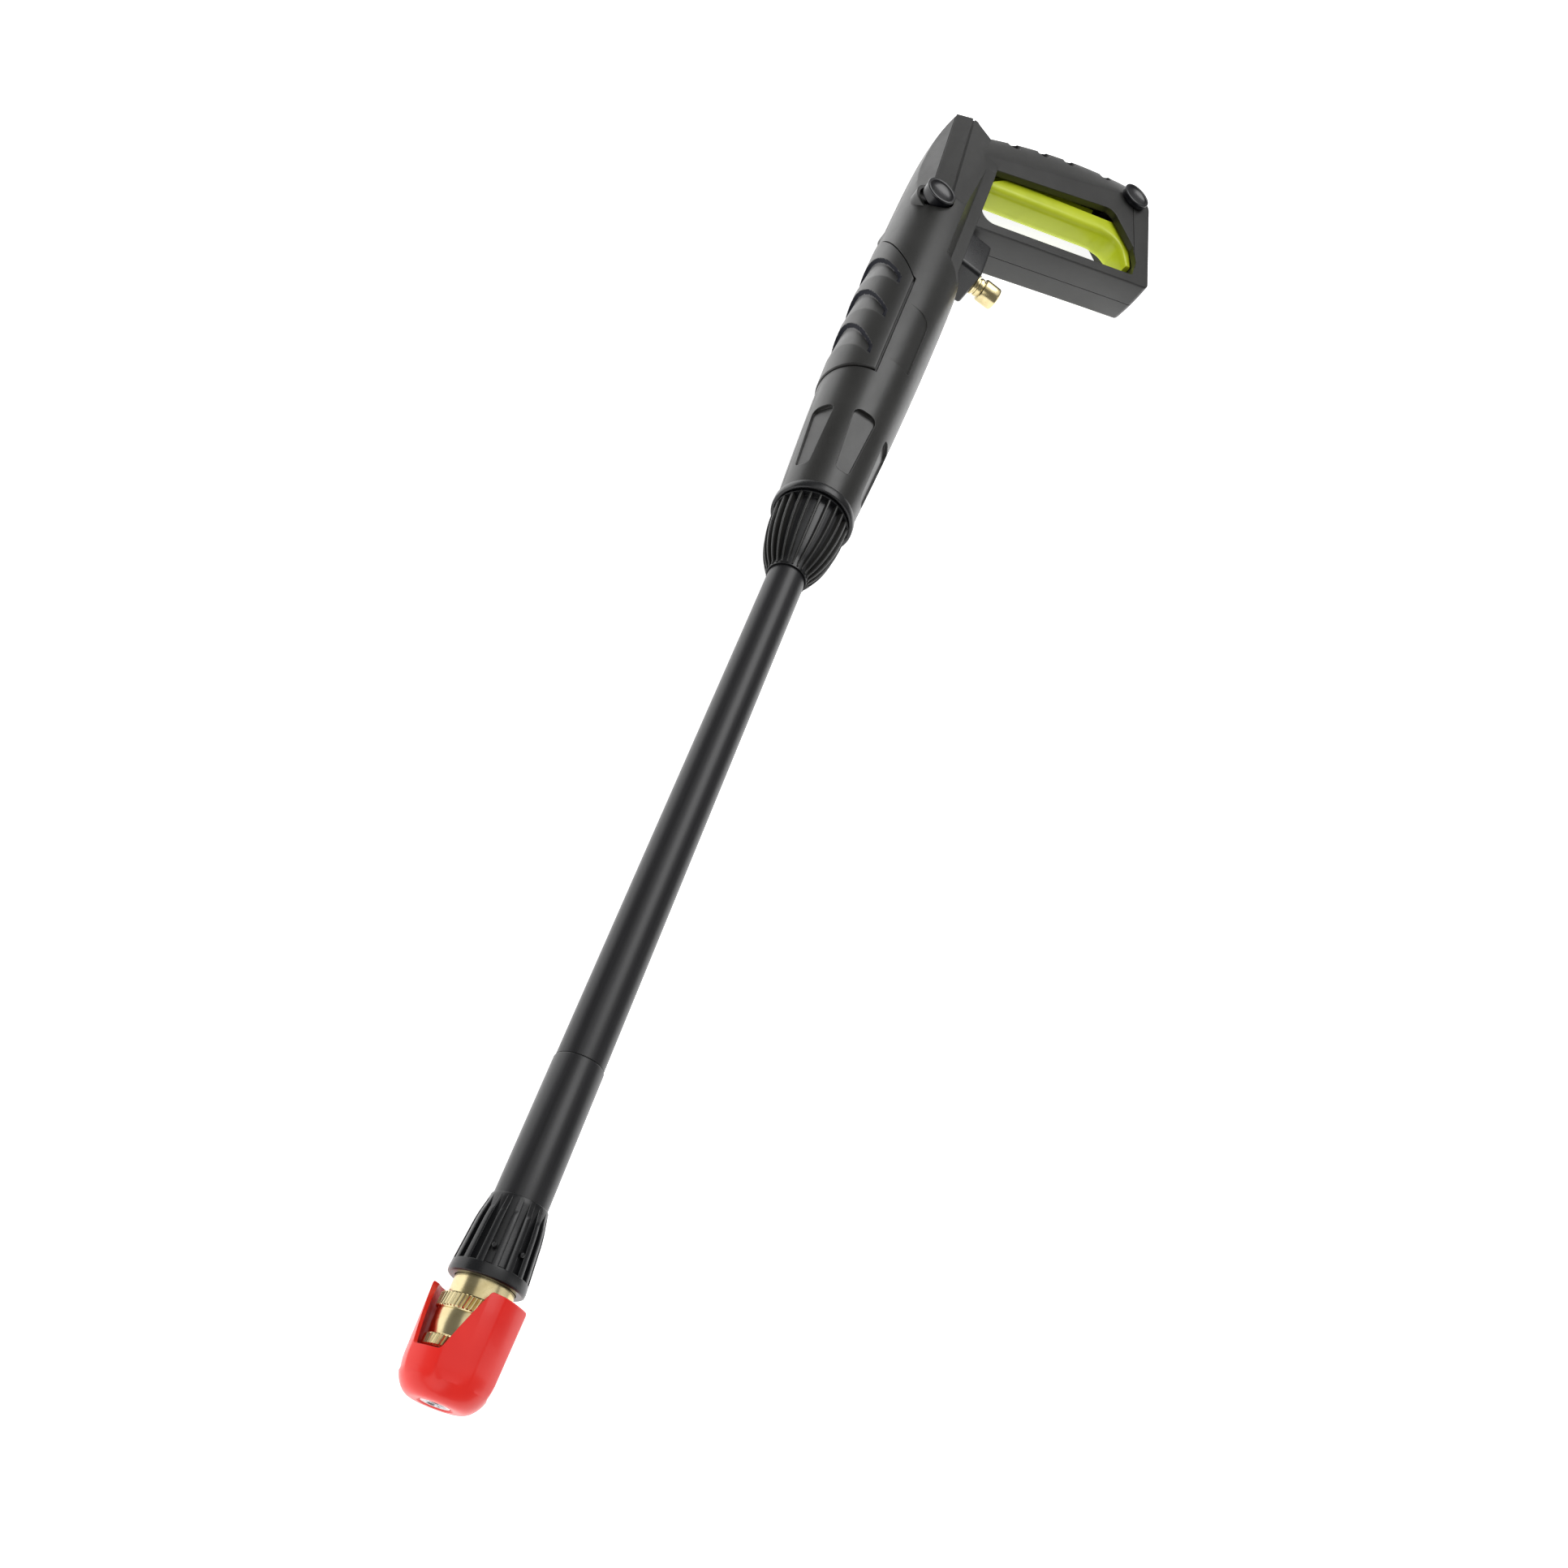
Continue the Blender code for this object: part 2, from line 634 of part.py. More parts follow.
def casing(name, side, material):
    """One half of the gun's casing; side is 1 for the left half and -1 for the right."""
    shell = cut(barrel_solid(), *keel_tools(0.0))
    join(shell, handle_loop())
    cut(shell, barrel_hollow())
    for end in (1, -1):
        boss = turned("boss", ((end * 15.0, 13.0), (end * 22.5, 13.0)), axis="Z", at=(LOCK_X, LOCK_Y))
        join(shell, boss)
    cut(shell, loop_window(), trigger_room())
    block_room = box(
        "block_room",
        (BLOCK_TOP - GAP, BLOCK_FRONT - GAP, -BLOCK_HALF_WIDTH - GAP),
        (BLOCK_FOOT + 5.0, BLOCK_REAR + GAP, BLOCK_HALF_WIDTH + GAP),
    )
    cut(shell, block_room)
    pocket = LOCK_PROUD - LOCK_BUTTON_HEIGHT - LOCK_TRAVEL - 0.5
    reach = BARREL_MID_RADIUS + 10.0
    button_room = turned(
        "button_room",
        ((side * pocket, LOCK_BUTTON_RADIUS + 0.4), (side * reach, LOCK_BUTTON_RADIUS + 0.4)),
        axis="Z",
        at=(LOCK_X, LOCK_Y),
    )
    shaft_room = turned(
        "shaft_room",
        ((-reach, LOCK_SHAFT_RADIUS + GAP), (reach, LOCK_SHAFT_RADIUS + GAP)),
        axis="Z",
        at=(LOCK_X, LOCK_Y),
    )
    cut(shell, button_room, shaft_room)
    cut(shell, pad_patch("pad_room", GAP, PAD_DEPTH + GAP + 0.1, PAD_PROUD + 1.2))
    cut(shell, strip_slab("strip_room", side, GAP, STRIP_DEPTH + GAP, 8.0))
    for place in NOTCH_PLACES:
        edge = grip_back(place) + 6.6
        for end in (1, -1):
            notch = turned(
                "notch",
                ((end * 4.0, NOTCH_RADIUS), (end * 20.0, NOTCH_RADIUS + 1.0)),
                axis="Z",
                at=(place, edge - 3.0),
                segments=10,
            )
            cut(shell, notch)
    pin_room = turned(
        "pin_room", ((-14.3, PIN_RADIUS + GAP), (14.3, PIN_RADIUS + GAP)), axis="Z", at=(PIVOT_X, PIVOT_Y)
    )
    pin_boss = turned("pin_boss", ((side * 11.6, 6.0), (side * 16.0, 6.0)), axis="Z", at=(PIVOT_X, PIVOT_Y))
    join(shell, pin_boss)
    cut(shell, pin_room)
    bolt_room = turned(
        "bolt_room",
        ((-20.0, FOOT_BOLT_RADIUS + GAP), (20.0, FOOT_BOLT_RADIUS + GAP)),
        axis="Z",
        at=(FOOT_CAP_X, FOOT_CAP_Y),
        segments=10,
    )
    cut(shell, bolt_room)
    for x, y in SCREW_PLACES:
        top = screw_top(x, y)
        if x < KEEL_X + 5.0:
            reach = flank_height(math.copysign(abs(x) + SCREW_BOSS_RADIUS, x), y) - 1.5
            boss = turned(
                "boss", ((0.0, SCREW_BOSS_RADIUS), (side * reach, SCREW_BOSS_RADIUS)),
                axis="Z", at=(x, y), segments=8,
            )
            join(shell, boss)
        head = -(top - SCREW_HEAD - 1.2)
        hole = ((-top - 9.0, SCREW_HEAD_RADIUS + GAP), (head, SCREW_HEAD_RADIUS + GAP))
        cut(shell, turned("hole", hole, axis="Z", at=(x, y), segments=8))
        shaft = ((head - 0.5, SCREW_RADIUS + GAP), (head + SCREW_LENGTH + 1.0, SCREW_RADIUS + GAP))
        cut(shell, turned("hole", shaft, axis="Z", at=(x, y), segments=8))
    half = SEAM_GAP / 2
    low = -60.0 if side > 0 else -half
    high = half if side > 0 else 60.0
    cut(shell, box("half", (-60.0, -20.0, low), (200.0, 560.0, high)))
    shell.name = name
    shell.data.name = name
    shell.data.materials.clear()
    shell.data.materials.append(material)
    shell.data.shade_smooth()
    shell.data.set_sharp_from_angle(angle=math.radians(35))
    return shell


def lip_ring(material):
    """Dark ring at the mouth of the barrel; the collar turns inside its front lip."""
    inner = COLLAR_RADIUS + 0.5
    root = SOCKET_RADIUS + 3.0
    profile = (
        (-1.6, inner), (-1.6, LIP_RADIUS - 0.6), (-1.0, LIP_RADIUS), (BARREL_START - 1.0, LIP_RADIUS),
        (BARREL_START - GAP, LIP_RADIUS - 0.8), (BARREL_START - GAP, root), (1.0, root), (1.0, inner),
    )
    return turned("front_lip_ring", profile, material, segments=BARREL_SEGMENTS, bored=True)


def trigger(material):
    """Lever with a wide finger blade, a narrow rib behind it and a short arm past its pin."""
    half = TRIGGER_HALF_WIDTH
    foot_x = HANDLE_REACH - FOOT_WALL
    tip_x = foot_x - 0.8
    bend_x = foot_x - TRIGGER_HOOK
    bend_y = trigger_front(bend_x)
    tip = (tip_x, bend_y - 22.0)
    hook = [(bend_x + 6.0, bend_y - 0.5), (bend_x + 12.0, bend_y - 8.0), (tip_x - 4.0, tip[1] - 3.0), tip]
    blade = [(PIVOT_X + 5.0, PIVOT_Y + 6.0), (WINDOW_ROOT + 1.5, TRIGGER_ROOT_Y)]
    blade += [(bend_x - 30.0, trigger_front(bend_x - 30.0)), (bend_x, bend_y)] + hook
    blade += [(tip_x - 8.0, bend_y + 20.0), (bend_x, bend_y + TRIGGER_DEPTH)]
    blade += [(30.0, trigger_front(30.0) + TRIGGER_DEPTH), (PIVOT_X + 2.0, PIVOT_Y + 16.0)]
    lever = soft_slab("trigger", blade, half, 2.4, material)
    rib = [(PIVOT_X + 2.0, PIVOT_Y - 5.0), (PIVOT_X + 7.0, PIVOT_Y + 10.0), (26.0, trigger_front(26.0) + 4.0)]
    rib.append((100.0, trigger_front(100.0) + 4.0))
    rib += [(104.0, trigger_front(104.0) + TRIGGER_RIB_DEPTH), (24.0, trigger_front(24.0) + TRIGGER_RIB_DEPTH)]
    join(lever, slab("rib", rib, -6.0, 6.0))
    join(lever, turned("hub", ((-8.0, 6.5), (8.0, 6.5)), axis="Z", at=(PIVOT_X, PIVOT_Y), segments=20))
    arm = [(-17.0, PLUNGER_BACK + ARM_GAP), (PIVOT_X, PLUNGER_BACK + ARM_GAP), (PIVOT_X, PIVOT_Y + 4.0)]
    arm += [(-13.0, PIVOT_Y - 1.0), (-17.0, PIVOT_Y - 2.0)]
    join(lever, slab("arm", arm, -4.0, 4.0))
    hole = ((-12.0, PIN_RADIUS + GAP), (12.0, PIN_RADIUS + GAP))
    cut(lever, turned("hole", hole, axis="Z", at=(PIVOT_X, PIVOT_Y), segments=16))
    lever.name = "trigger"
    lever.data.name = "trigger"
    return lever


def spring(name, start, end, radius, wire, turns, material, at=(0.0, 0.0)):
    """Compression spring along Y, with closed end turns."""
    steps = round(turns * 8)
    rings = []
    for i in range(steps + 1):
        share = i / steps
        angle = math.tau * turns * share
        along = start + wire + (end - start - 2 * wire) * share
        out = Vector((math.cos(angle), 0.0, math.sin(angle)))
        centre = Vector((at[0], along, at[1])) + out * radius
        ring = []
        for j in range(5):
            turn = math.tau * j / 5
            ring.append(tuple(centre + out * (wire * math.cos(turn)) + Vector((0, wire * math.sin(turn), 0))))
        rings.append(ring)
    return loft(name, rings, material)


def pin(name, centre, radius, low, high, material, bevel=0.4, segments=16):
    profile = ((low, radius - bevel), (low + bevel, radius), (high - bevel, radius), (high, radius - bevel))
    return turned(name, profile, material, "Z", centre, segments)


def dished_button(name, side, base, top, radius, material, at, stem=0.0):
    """Round button with a rim and a dished top; `side` is the way it faces."""
    profile = [(base, radius - 0.8), (base + 1.0, radius - 0.4), (top - 1.6, radius - 0.4)]
    profile += [(top - 1.2, radius), (top - 0.4, radius), (top, radius - 0.6), (top, radius - 1.8)]
    dish = radius - 2.4
    for i in range(1, 4):
        turn = i / 3 * math.pi / 2
        profile.append((top - 2.2 * math.sin(turn), dish * math.cos(turn) + 0.02))
    button = turned(name, [(side * a, r) for a, r in profile], material, "Z", at, 20)
    if stem:
        shaft = ((side * (base + 1.0), LOCK_SHAFT_RADIUS), (side * stem, LOCK_SHAFT_RADIUS))
        join(button, turned("stem", shaft, axis="Z", at=at, segments=16))
    return button


def lock_parts(plastic, steel):
    at = (LOCK_X, LOCK_Y)
    low = LOCK_PROUD - LOCK_BUTTON_HEIGHT
    shaft_end = low - LOCK_TRAVEL
    parts = [dished_button("lock_button", 1, low, LOCK_PROUD, LOCK_BUTTON_RADIUS, plastic, at, 1 - shaft_end)]
    cap_top = LOCK_PROUD - LOCK_TRAVEL
    cap_low = cap_top - LOCK_BUTTON_HEIGHT
    parts.append(dished_button("lock_cap", -1, cap_low, cap_top, LOCK_BUTTON_RADIUS, plastic, at))
    bar = box(
        "lock_bar",
        (LOCK_X - 3.2, LOCK_Y + LOCK_SHAFT_RADIUS + GAP, LOCK_TRAVEL),
        (LOCK_X + 0.3, PLUNGER_BACK - LOCK_BAR_SHORT, LOCK_TRAVEL + LOCK_BAR),
        steel,
    )
    return parts + [bar]


def valve_parts(brass, steel, rubber):
    chamber_start, chamber_end = VALVE_CHAMBER
    guide = PLUNGER_RADIUS + GAP
    profile = (
        (VALVE_FRONT, OUTLET_BORE), (VALVE_FRONT, 6.5), (VALVE_FRONT + 8, 6.5), (VALVE_FRONT + 8, VALVE_RADIUS),
        (VALVE_REAR - 6, VALVE_RADIUS), (VALVE_REAR - 6, 6.5), (VALVE_REAR, 6.5), (VALVE_REAR, guide),
        (chamber_end, guide), (chamber_end, VALVE_CHAMBER_RADIUS), (chamber_start, VALVE_CHAMBER_RADIUS),
        (chamber_start, OUTLET_BORE),
    )
    body = turned("valve_body", profile, brass, bored=True)
    boss = turned("boss", ((6.0, 6.5), (BLOCK_TOP - 2.4, 6.5)), axis="X", at=(INLET_Y, 0.0), segments=16)
    join(body, boss)
    port = turned("port", ((0.0, PLUG_BORE), (BLOCK_TOP, PLUG_BORE)), axis="X", at=(INLET_Y, 0.0), segments=12)
    cut(body, port)
    head_end = chamber_end - 3.0
    plunger = turned(
        "valve_plunger",
        (
            (head_end - 4.0, PLUNGER_HEAD - 0.5), (head_end - 3.5, PLUNGER_HEAD), (head_end, PLUNGER_HEAD),
            (head_end, PLUNGER_RADIUS), (PLUNGER_BACK - 1.0, PLUNGER_RADIUS), (PLUNGER_BACK, PLUNGER_RADIUS - 1.0),
        ),
        steel,
        segments=12,
    )
    coil = spring(
        "valve_spring", chamber_start + GAP, head_end - 4.0 - GAP, VALVE_CHAMBER_RADIUS - 1.2, 0.5, 5, steel
    )
    seal = turned("plunger_oring", oring_profile(chamber_end - 1.5, guide + 0.25 + 0.75, 0.7), rubber, bored=True)
    return [body, plunger, coil, seal]


def oring_profile(along, radius, wire, steps=6):
    points = []
    for i in range(steps):
        angle = math.tau * i / steps
        points.append((along + wire * math.cos(angle), radius + wire * math.sin(angle)))
    return points


def lance_socket(brass):
    """Brass socket with a turned groove and two entry slots for the lance's lugs."""
    bore = SOCKET_BORE
    groove = LUG_REACH + LUG_ROOM
    lug_start = LUG_PLACE - LUG_LENGTH / 2 - GAP
    lug_end = LUG_PLACE + LUG_LENGTH / 2 + GAP
    profile = (
        (SOCKET_START, bore), (SOCKET_START, SOCKET_RADIUS), (BARREL_START + BARREL_WALL + GAP, SOCKET_RADIUS),
        (BARREL_START + BARREL_WALL + GAP, SOCKET_RADIUS + 2.5), (11.0, SOCKET_RADIUS + 2.5),
        (11.0, SOCKET_RADIUS), (SOCKET_END - 10, SOCKET_RADIUS), (SOCKET_END, 8.0), (SOCKET_END, OUTLET_BORE),
        (SPIGOT_END + 3.0, OUTLET_BORE), (SPIGOT_END + 3.0, bore), (lug_end, bore), (lug_end, groove),
        (lug_start, groove), (lug_start, bore),
    )
    socket = turned("lance_socket", profile, brass, bored=True)
    reach = LUG_REACH + GAP
    slot = box("slot", (-LUG_WIDTH / 2 - 0.6, SOCKET_START - 2, -reach), (LUG_WIDTH / 2 + 0.6, LUG_PLACE, reach))
    return cut(socket, slot)


def inlet_parts(black, brass, rubber):
    low = (BLOCK_TOP, BLOCK_FRONT, -BLOCK_HALF_WIDTH)
    high = (BLOCK_FOOT, BLOCK_REAR, BLOCK_HALF_WIDTH)
    block = box("inlet_block", low, high, black)
    edge = block.modifiers.new("Edge", "BEVEL")
    edge.width = 2.4 * MM
    edge.segments = 3
    bore = PLUG_NECK_RADIUS - 0.8
    room = turned("room", ((BLOCK_TOP - 1, bore + GAP), (BLOCK_FOOT + 1, bore + GAP)), axis="X", at=(INLET_Y, 0.0))
    cut(block, room)
    neck = BLOCK_FOOT + PLUG_NECK_LENGTH
    root = PLUG_NECK_RADIUS - 0.8
    profile = (
        (BLOCK_TOP + 8, PLUG_BORE), (BLOCK_TOP + 8, root), (BLOCK_FOOT + GAP, root),
        (BLOCK_FOOT + GAP, PLUG_NECK_RADIUS), (BLOCK_FOOT + 2.2, PLUG_NECK_RADIUS), (BLOCK_FOOT + 2.2, root),
        (BLOCK_FOOT + 3.4, root), (BLOCK_FOOT + 3.4, PLUG_NECK_RADIUS), (neck - 2.2, PLUG_NECK_RADIUS),
        (neck - 2.2, root), (neck - 1.0, root), (neck - 1.0, PLUG_RADIUS - 0.5), (neck, PLUG_RADIUS),
        (PLUG_END - 1.2, PLUG_RADIUS), (PLUG_END, PLUG_RADIUS - 1.2), (PLUG_END, PLUG_BORE + 1.4),
        (PLUG_END - 1.4, PLUG_BORE),
    )
    plug = turned("inlet_plug", profile, brass, "X", (INLET_Y, 0.0), 24, bored=True)
    pipe = tube(
        "inlet_tube", BLOCK_TOP - 2.0, BLOCK_TOP + 8 - GAP, PLUG_NECK_RADIUS - 1.6, PLUG_BORE, brass, 16,
        "X", (INLET_Y, 0.0),
    )
    return [block, plug, pipe]


def ribs(depth, start, end):
    """Cuts slots between ribs: two of each four points round the solid stand lower."""

    def wave(index, along, radius):
        return depth if index % 4 < 2 and start < along < end else 0.0

    return wave


def lance_collar(black):
    """Domed twist collar with ribs, on the lance's rear end."""
    length = COLLAR_REAR - COLLAR_FRONT + 3.0
    profile = [(COLLAR_REAR, TUBE_RADIUS + GAP), (COLLAR_REAR, COLLAR_RADIUS - 1.5), (COLLAR_REAR - 1, COLLAR_RADIUS)]
    for y in spread(COLLAR_REAR - 2.5, COLLAR_FRONT + 1.5, 5):
        share = (COLLAR_REAR - 2.5 - y) / length
        profile.append((y, COLLAR_RADIUS * (1 - share**2.2) ** 0.5))
    profile += [(COLLAR_FRONT, TUBE_RADIUS + 1.0), (COLLAR_FRONT, TUBE_RADIUS + GAP)]
    wave = ribs(COLLAR_RIB_DEPTH, COLLAR_FRONT + 0.5, COLLAR_REAR - 2.0)

    def cut_ribs(index, along, radius):
        return wave(index, along, radius) if radius > TUBE_RADIUS + 2.0 else 0.0

    return turned("lance_collar", profile, black, segments=COLLAR_RIBS * 4, bored=True, wave=cut_ribs)


def lance_parts(black, steel, brass, rubber):
    step = TUBE_RADIUS - 0.6
    profile = (
        (CONE_REAR - 10, TUBE_BORE), (CONE_REAR - 10, step), (SLEEVE_REAR + GAP, step),
        (SLEEVE_REAR + GAP, TUBE_RADIUS), (TUBE_REAR, TUBE_RADIUS), (TUBE_REAR, TUBE_BORE),
    )
    parts = [turned("lance_tube", profile, black, bored=True)]
    parts.append(tube("lance_sleeve", CONE_REAR - 10, SLEEVE_REAR, SLEEVE_RADIUS, step + GAP, black))
    parts.append(tube("inner_tube", COUPLER_REAR + GAP, TUBE_REAR, INNER_TUBE_RADIUS, INNER_TUBE_BORE, steel, 16))
    flange = TUBE_RADIUS - 0.3
    bore = INNER_TUBE_BORE
    seal = SPIGOT_END - 8.0
    groove = SPIGOT_RADIUS - 1.6
    profile = (
        (TUBE_REAR + GAP, bore), (TUBE_REAR + GAP, flange), (COLLAR_REAR, flange), (COLLAR_REAR, SPIGOT_RADIUS),
        (seal - 1.5, SPIGOT_RADIUS), (seal - 1.5, groove), (seal + 1.5, groove), (seal + 1.5, SPIGOT_RADIUS),
        (SPIGOT_END - 1, SPIGOT_RADIUS), (SPIGOT_END, SPIGOT_RADIUS - 1), (SPIGOT_END, bore),
    )
    spigot = turned("lance_spigot", profile, brass, bored=True)
    start = LUG_PLACE - LUG_LENGTH / 2
    lug = box("lug", (-LUG_REACH, start, -LUG_WIDTH / 2), (LUG_REACH, start + LUG_LENGTH, LUG_WIDTH / 2))
    join(spigot, lug)
    cut(spigot, turned("bore", ((start - 2, bore), (start + LUG_LENGTH + 2, bore)), segments=24))
    parts.append(spigot)
    wire = 1.0
    parts.append(turned("spigot_oring", oring_profile(seal, groove + 0.15 + wire, wire), rubber, bored=True))
    parts.append(lance_collar(black))
    return parts


def cone_radius(y):
    shoulder = CONE_REAR - CONE_SHOULDER
    if y > shoulder:
        return CONE_REAR_RADIUS + (CONE_SHOULDER_RADIUS - CONE_REAR_RADIUS) * (CONE_REAR - y) / CONE_SHOULDER
    share = (y - shoulder) / (CONE_FRONT - shoulder)
    return CONE_SHOULDER_RADIUS + (CONE_FRONT_RADIUS - CONE_SHOULDER_RADIUS) * share


def nozzle_cone(black):
    """Ribbed cone over the join of the lance and the quick coupler."""
    bore = SLEEVE_RADIUS + GAP
    wide = COLLAR_BRASS_RADIUS + GAP
    step = COUPLER_REAR + GAP
    shoulder = CONE_REAR - CONE_SHOULDER
    profile = [(CONE_REAR, bore), (CONE_REAR, cone_radius(CONE_REAR) - 0.4)]
    for y in (shoulder + 1.5, shoulder + 1.0, CONE_FRONT + CONE_RIM + 0.5, CONE_FRONT + CONE_RIM, CONE_FRONT + 1):
        profile.append((y, cone_radius(y)))
    profile += [(CONE_FRONT, cone_radius(CONE_FRONT) - 0.8), (CONE_FRONT, wide), (step, wide), (step, bore)]
    wave = ribs(CONE_RIB_DEPTH, CONE_FRONT + CONE_RIM + 0.2, CONE_REAR - CONE_SHOULDER + 1.2)

    def cut_ribs(index, along, radius):
        return wave(index, along, radius) if radius > wide + 0.1 else 0.0

    return turned("nozzle_cone", profile, black, segments=CONE_RIBS * 4, bored=True, wave=cut_ribs)


def cone_pegs(black):
    """Two small locking pegs that stand in slots of the cone."""
    pegs = []
    for i, (y, slot) in enumerate(PEG_PLACES):
        turn = math.tau * (slot + 0.125) / CONE_RIBS
        floor = cone_radius(y) - CONE_RIB_DEPTH + GAP
        points = []
        for low, radius in ((floor, PEG_RADIUS), (floor + 0.9, PEG_RADIUS), (floor + 1.2, PEG_RADIUS - 0.3)):
            ring = []
            for j in range(10):
                spin = math.tau * j / 10
                across = radius * math.cos(spin)
                out = Vector((math.cos(turn), 0.0, math.sin(turn)))
                side = Vector((-math.sin(turn), 0.0, math.cos(turn)))
                ring.append(tuple(out * low + side * across + Vector((0, y + radius * math.sin(spin), 0))))
            points.append(ring)
        pegs.append(loft(f"cone_peg_{i + 1}", points, black))
    return pegs


def coupler_parts(brass, steel, rubber):
    bore = COUPLER_BORE
    seal = COLLAR_BRASS_FRONT + 2.0
    ring_y = COUPLER_FRONT + 1.2
    profile = (
        (COUPLER_REAR, INNER_TUBE_BORE), (COUPLER_REAR, COLLAR_BRASS_RADIUS),
        (COLLAR_BRASS_FRONT, COLLAR_BRASS_RADIUS), (COLLAR_BRASS_FRONT, COUPLER_RADIUS),
        (ring_y + 0.9, COUPLER_RADIUS), (ring_y + 0.9, COUPLER_RADIUS - 0.8), (ring_y - 0.9, COUPLER_RADIUS - 0.8),
        (ring_y - 0.9, COUPLER_RADIUS - 0.2), (COUPLER_FRONT, COUPLER_RADIUS - 0.5), (COUPLER_FRONT, bore),
        (seal - 1.0, bore), (seal - 1.0, bore + 1.3), (seal + 1.0, bore + 1.3), (seal + 1.0, bore),
        (TIP_REAR + 0.4, bore), (TIP_REAR + 0.4, INNER_TUBE_BORE),
    )
    body = turned("coupler_body", profile, brass, bored=True)
    balls = []
    for i in range(BALL_COUNT):
        angle = math.tau * (i + 0.5) / BALL_COUNT
        out = Vector((math.cos(angle), 0.0, math.sin(angle)))
        side = Vector((-math.sin(angle), 0.0, math.cos(angle)))
        rings = []
        for reach in (2.0, COUPLER_RADIUS + 2.0):
            ring = []
            for j in range(14):
                spin = math.tau * j / 14
                hole = (BALL_RADIUS + GAP) / math.cos(math.pi / 14)
                ring.append(
                    tuple(out * reach + side * hole * math.cos(spin) + Vector((0, BALL_Y + hole * math.sin(spin), 0)))
                )
            rings.append(ring)
        cut(body, loft("ball_hole", rings))
        balls.append(ball(f"coupler_ball_{i + 1}", out * BALL_PLACE + Vector((0, BALL_Y, 0)), steel))
    parts = [body] + balls
    wire = 0.55
    parts.append(turned("coupler_oring", oring_profile(seal, bore + 0.05 + wire, wire), rubber, bored=True))
    snap = ((ring_y - 0.6, COUPLER_RADIUS - 0.5), (ring_y - 0.6, SLEEVE_LAND + 0.8))
    snap += ((ring_y + 0.6, SLEEVE_LAND + 0.8), (ring_y + 0.6, COUPLER_RADIUS - 0.5))
    parts.append(turned("retaining_ring", snap, steel, bored=True))
    parts.append(
        spring("coupler_spring", SPRING_SHELF + GAP, COLLAR_BRASS_FRONT - GAP, COUPLER_RADIUS + 1.25, 0.55, 2.5, steel)
    )
    return parts


def ball(name, centre, material, rings=6, segments=10):
    """A steel ball as a turned solid about Y."""
    profile = []
    for i in range(rings + 1):
        angle = math.pi * i / rings
        profile.append((centre.y - BALL_RADIUS * math.cos(angle), max(BALL_RADIUS * math.sin(angle), 0.15)))
    return turned(name, profile, material, at=(centre.x, centre.z), segments=segments)


def coupler_sleeve(brass):
    """Sprung sleeve: a knurled ring at each end, and a flared land that holds the balls in."""
    pocket = COLLAR_BRASS_RADIUS + 0.35
    land = BALL_Y + 0.5
    end_bore = SLEEVE_LAND + SLEEVE_FLARE * (land - SLEEVE_END)
    waist_rear = SLEEVE_START - 5.0
    waist_front = SLEEVE_END + 4.0
    profile = (
        (SLEEVE_START, pocket), (SLEEVE_START, KNURL_RADIUS - 0.6), (SLEEVE_START - 0.5, KNURL_RADIUS),
        (waist_rear + 0.4, KNURL_RADIUS), (waist_rear, KNURL_RADIUS - 0.7), (waist_rear - 0.01, 11.7),
        (waist_front + 0.01, 11.1), (waist_front, KNURL_RADIUS - 0.9), (waist_front - 0.4, KNURL_RADIUS - 0.3),
        (SLEEVE_END + 0.5, KNURL_RADIUS - 0.3), (SLEEVE_END, KNURL_RADIUS - 0.8), (SLEEVE_END, end_bore),
        (land, SLEEVE_LAND), (SPRING_SHELF, SLEEVE_LAND), (SPRING_SHELF, pocket),
    )

    def knurl(index, along, radius):
        return KNURL_DEPTH if index % 2 and radius > 12.0 else 0.0

    return turned("coupler_sleeve", profile, brass, segments=KNURL_TEETH * 2, bored=True, wave=knurl)


def spray_tip(steel):
    """Metal spray tip: plug with a ball groove, six-sided head and a small nozzle hole."""
    groove = BALL_PLACE - BALL_RADIUS - GAP
    hole = 0.9
    half = BALL_RADIUS + 0.4
    profile = (
        (TIP_REAR, 2.2), (TIP_REAR, TIP_RADIUS - 0.6), (TIP_REAR - 0.6, TIP_RADIUS),
        (BALL_Y + half, TIP_RADIUS), (BALL_Y + half - 0.5, groove), (BALL_Y - half + 0.5, groove),
        (BALL_Y - half, TIP_RADIUS), (TIP_FRONT + 0.6, TIP_RADIUS), (TIP_FRONT, TIP_RADIUS - 0.6),
        (TIP_FRONT, 3.0), (TIP_FRONT + 1.8, hole), (TIP_FRONT + 8.0, hole), (TIP_FRONT + 10.0, 2.2),
    )
    tip = turned("spray_tip", profile, steel, bored=True)
    head = turned("head", ((GUARD_FLOOR - 1.6, 7.0), (GUARD_FLOOR - 9.2, 7.0)), segments=6)
    cut(head, turned("bore", ((GUARD_FLOOR, 4.0), (GUARD_FLOOR - 12.0, 4.0)), segments=24))
    return join(tip, head)


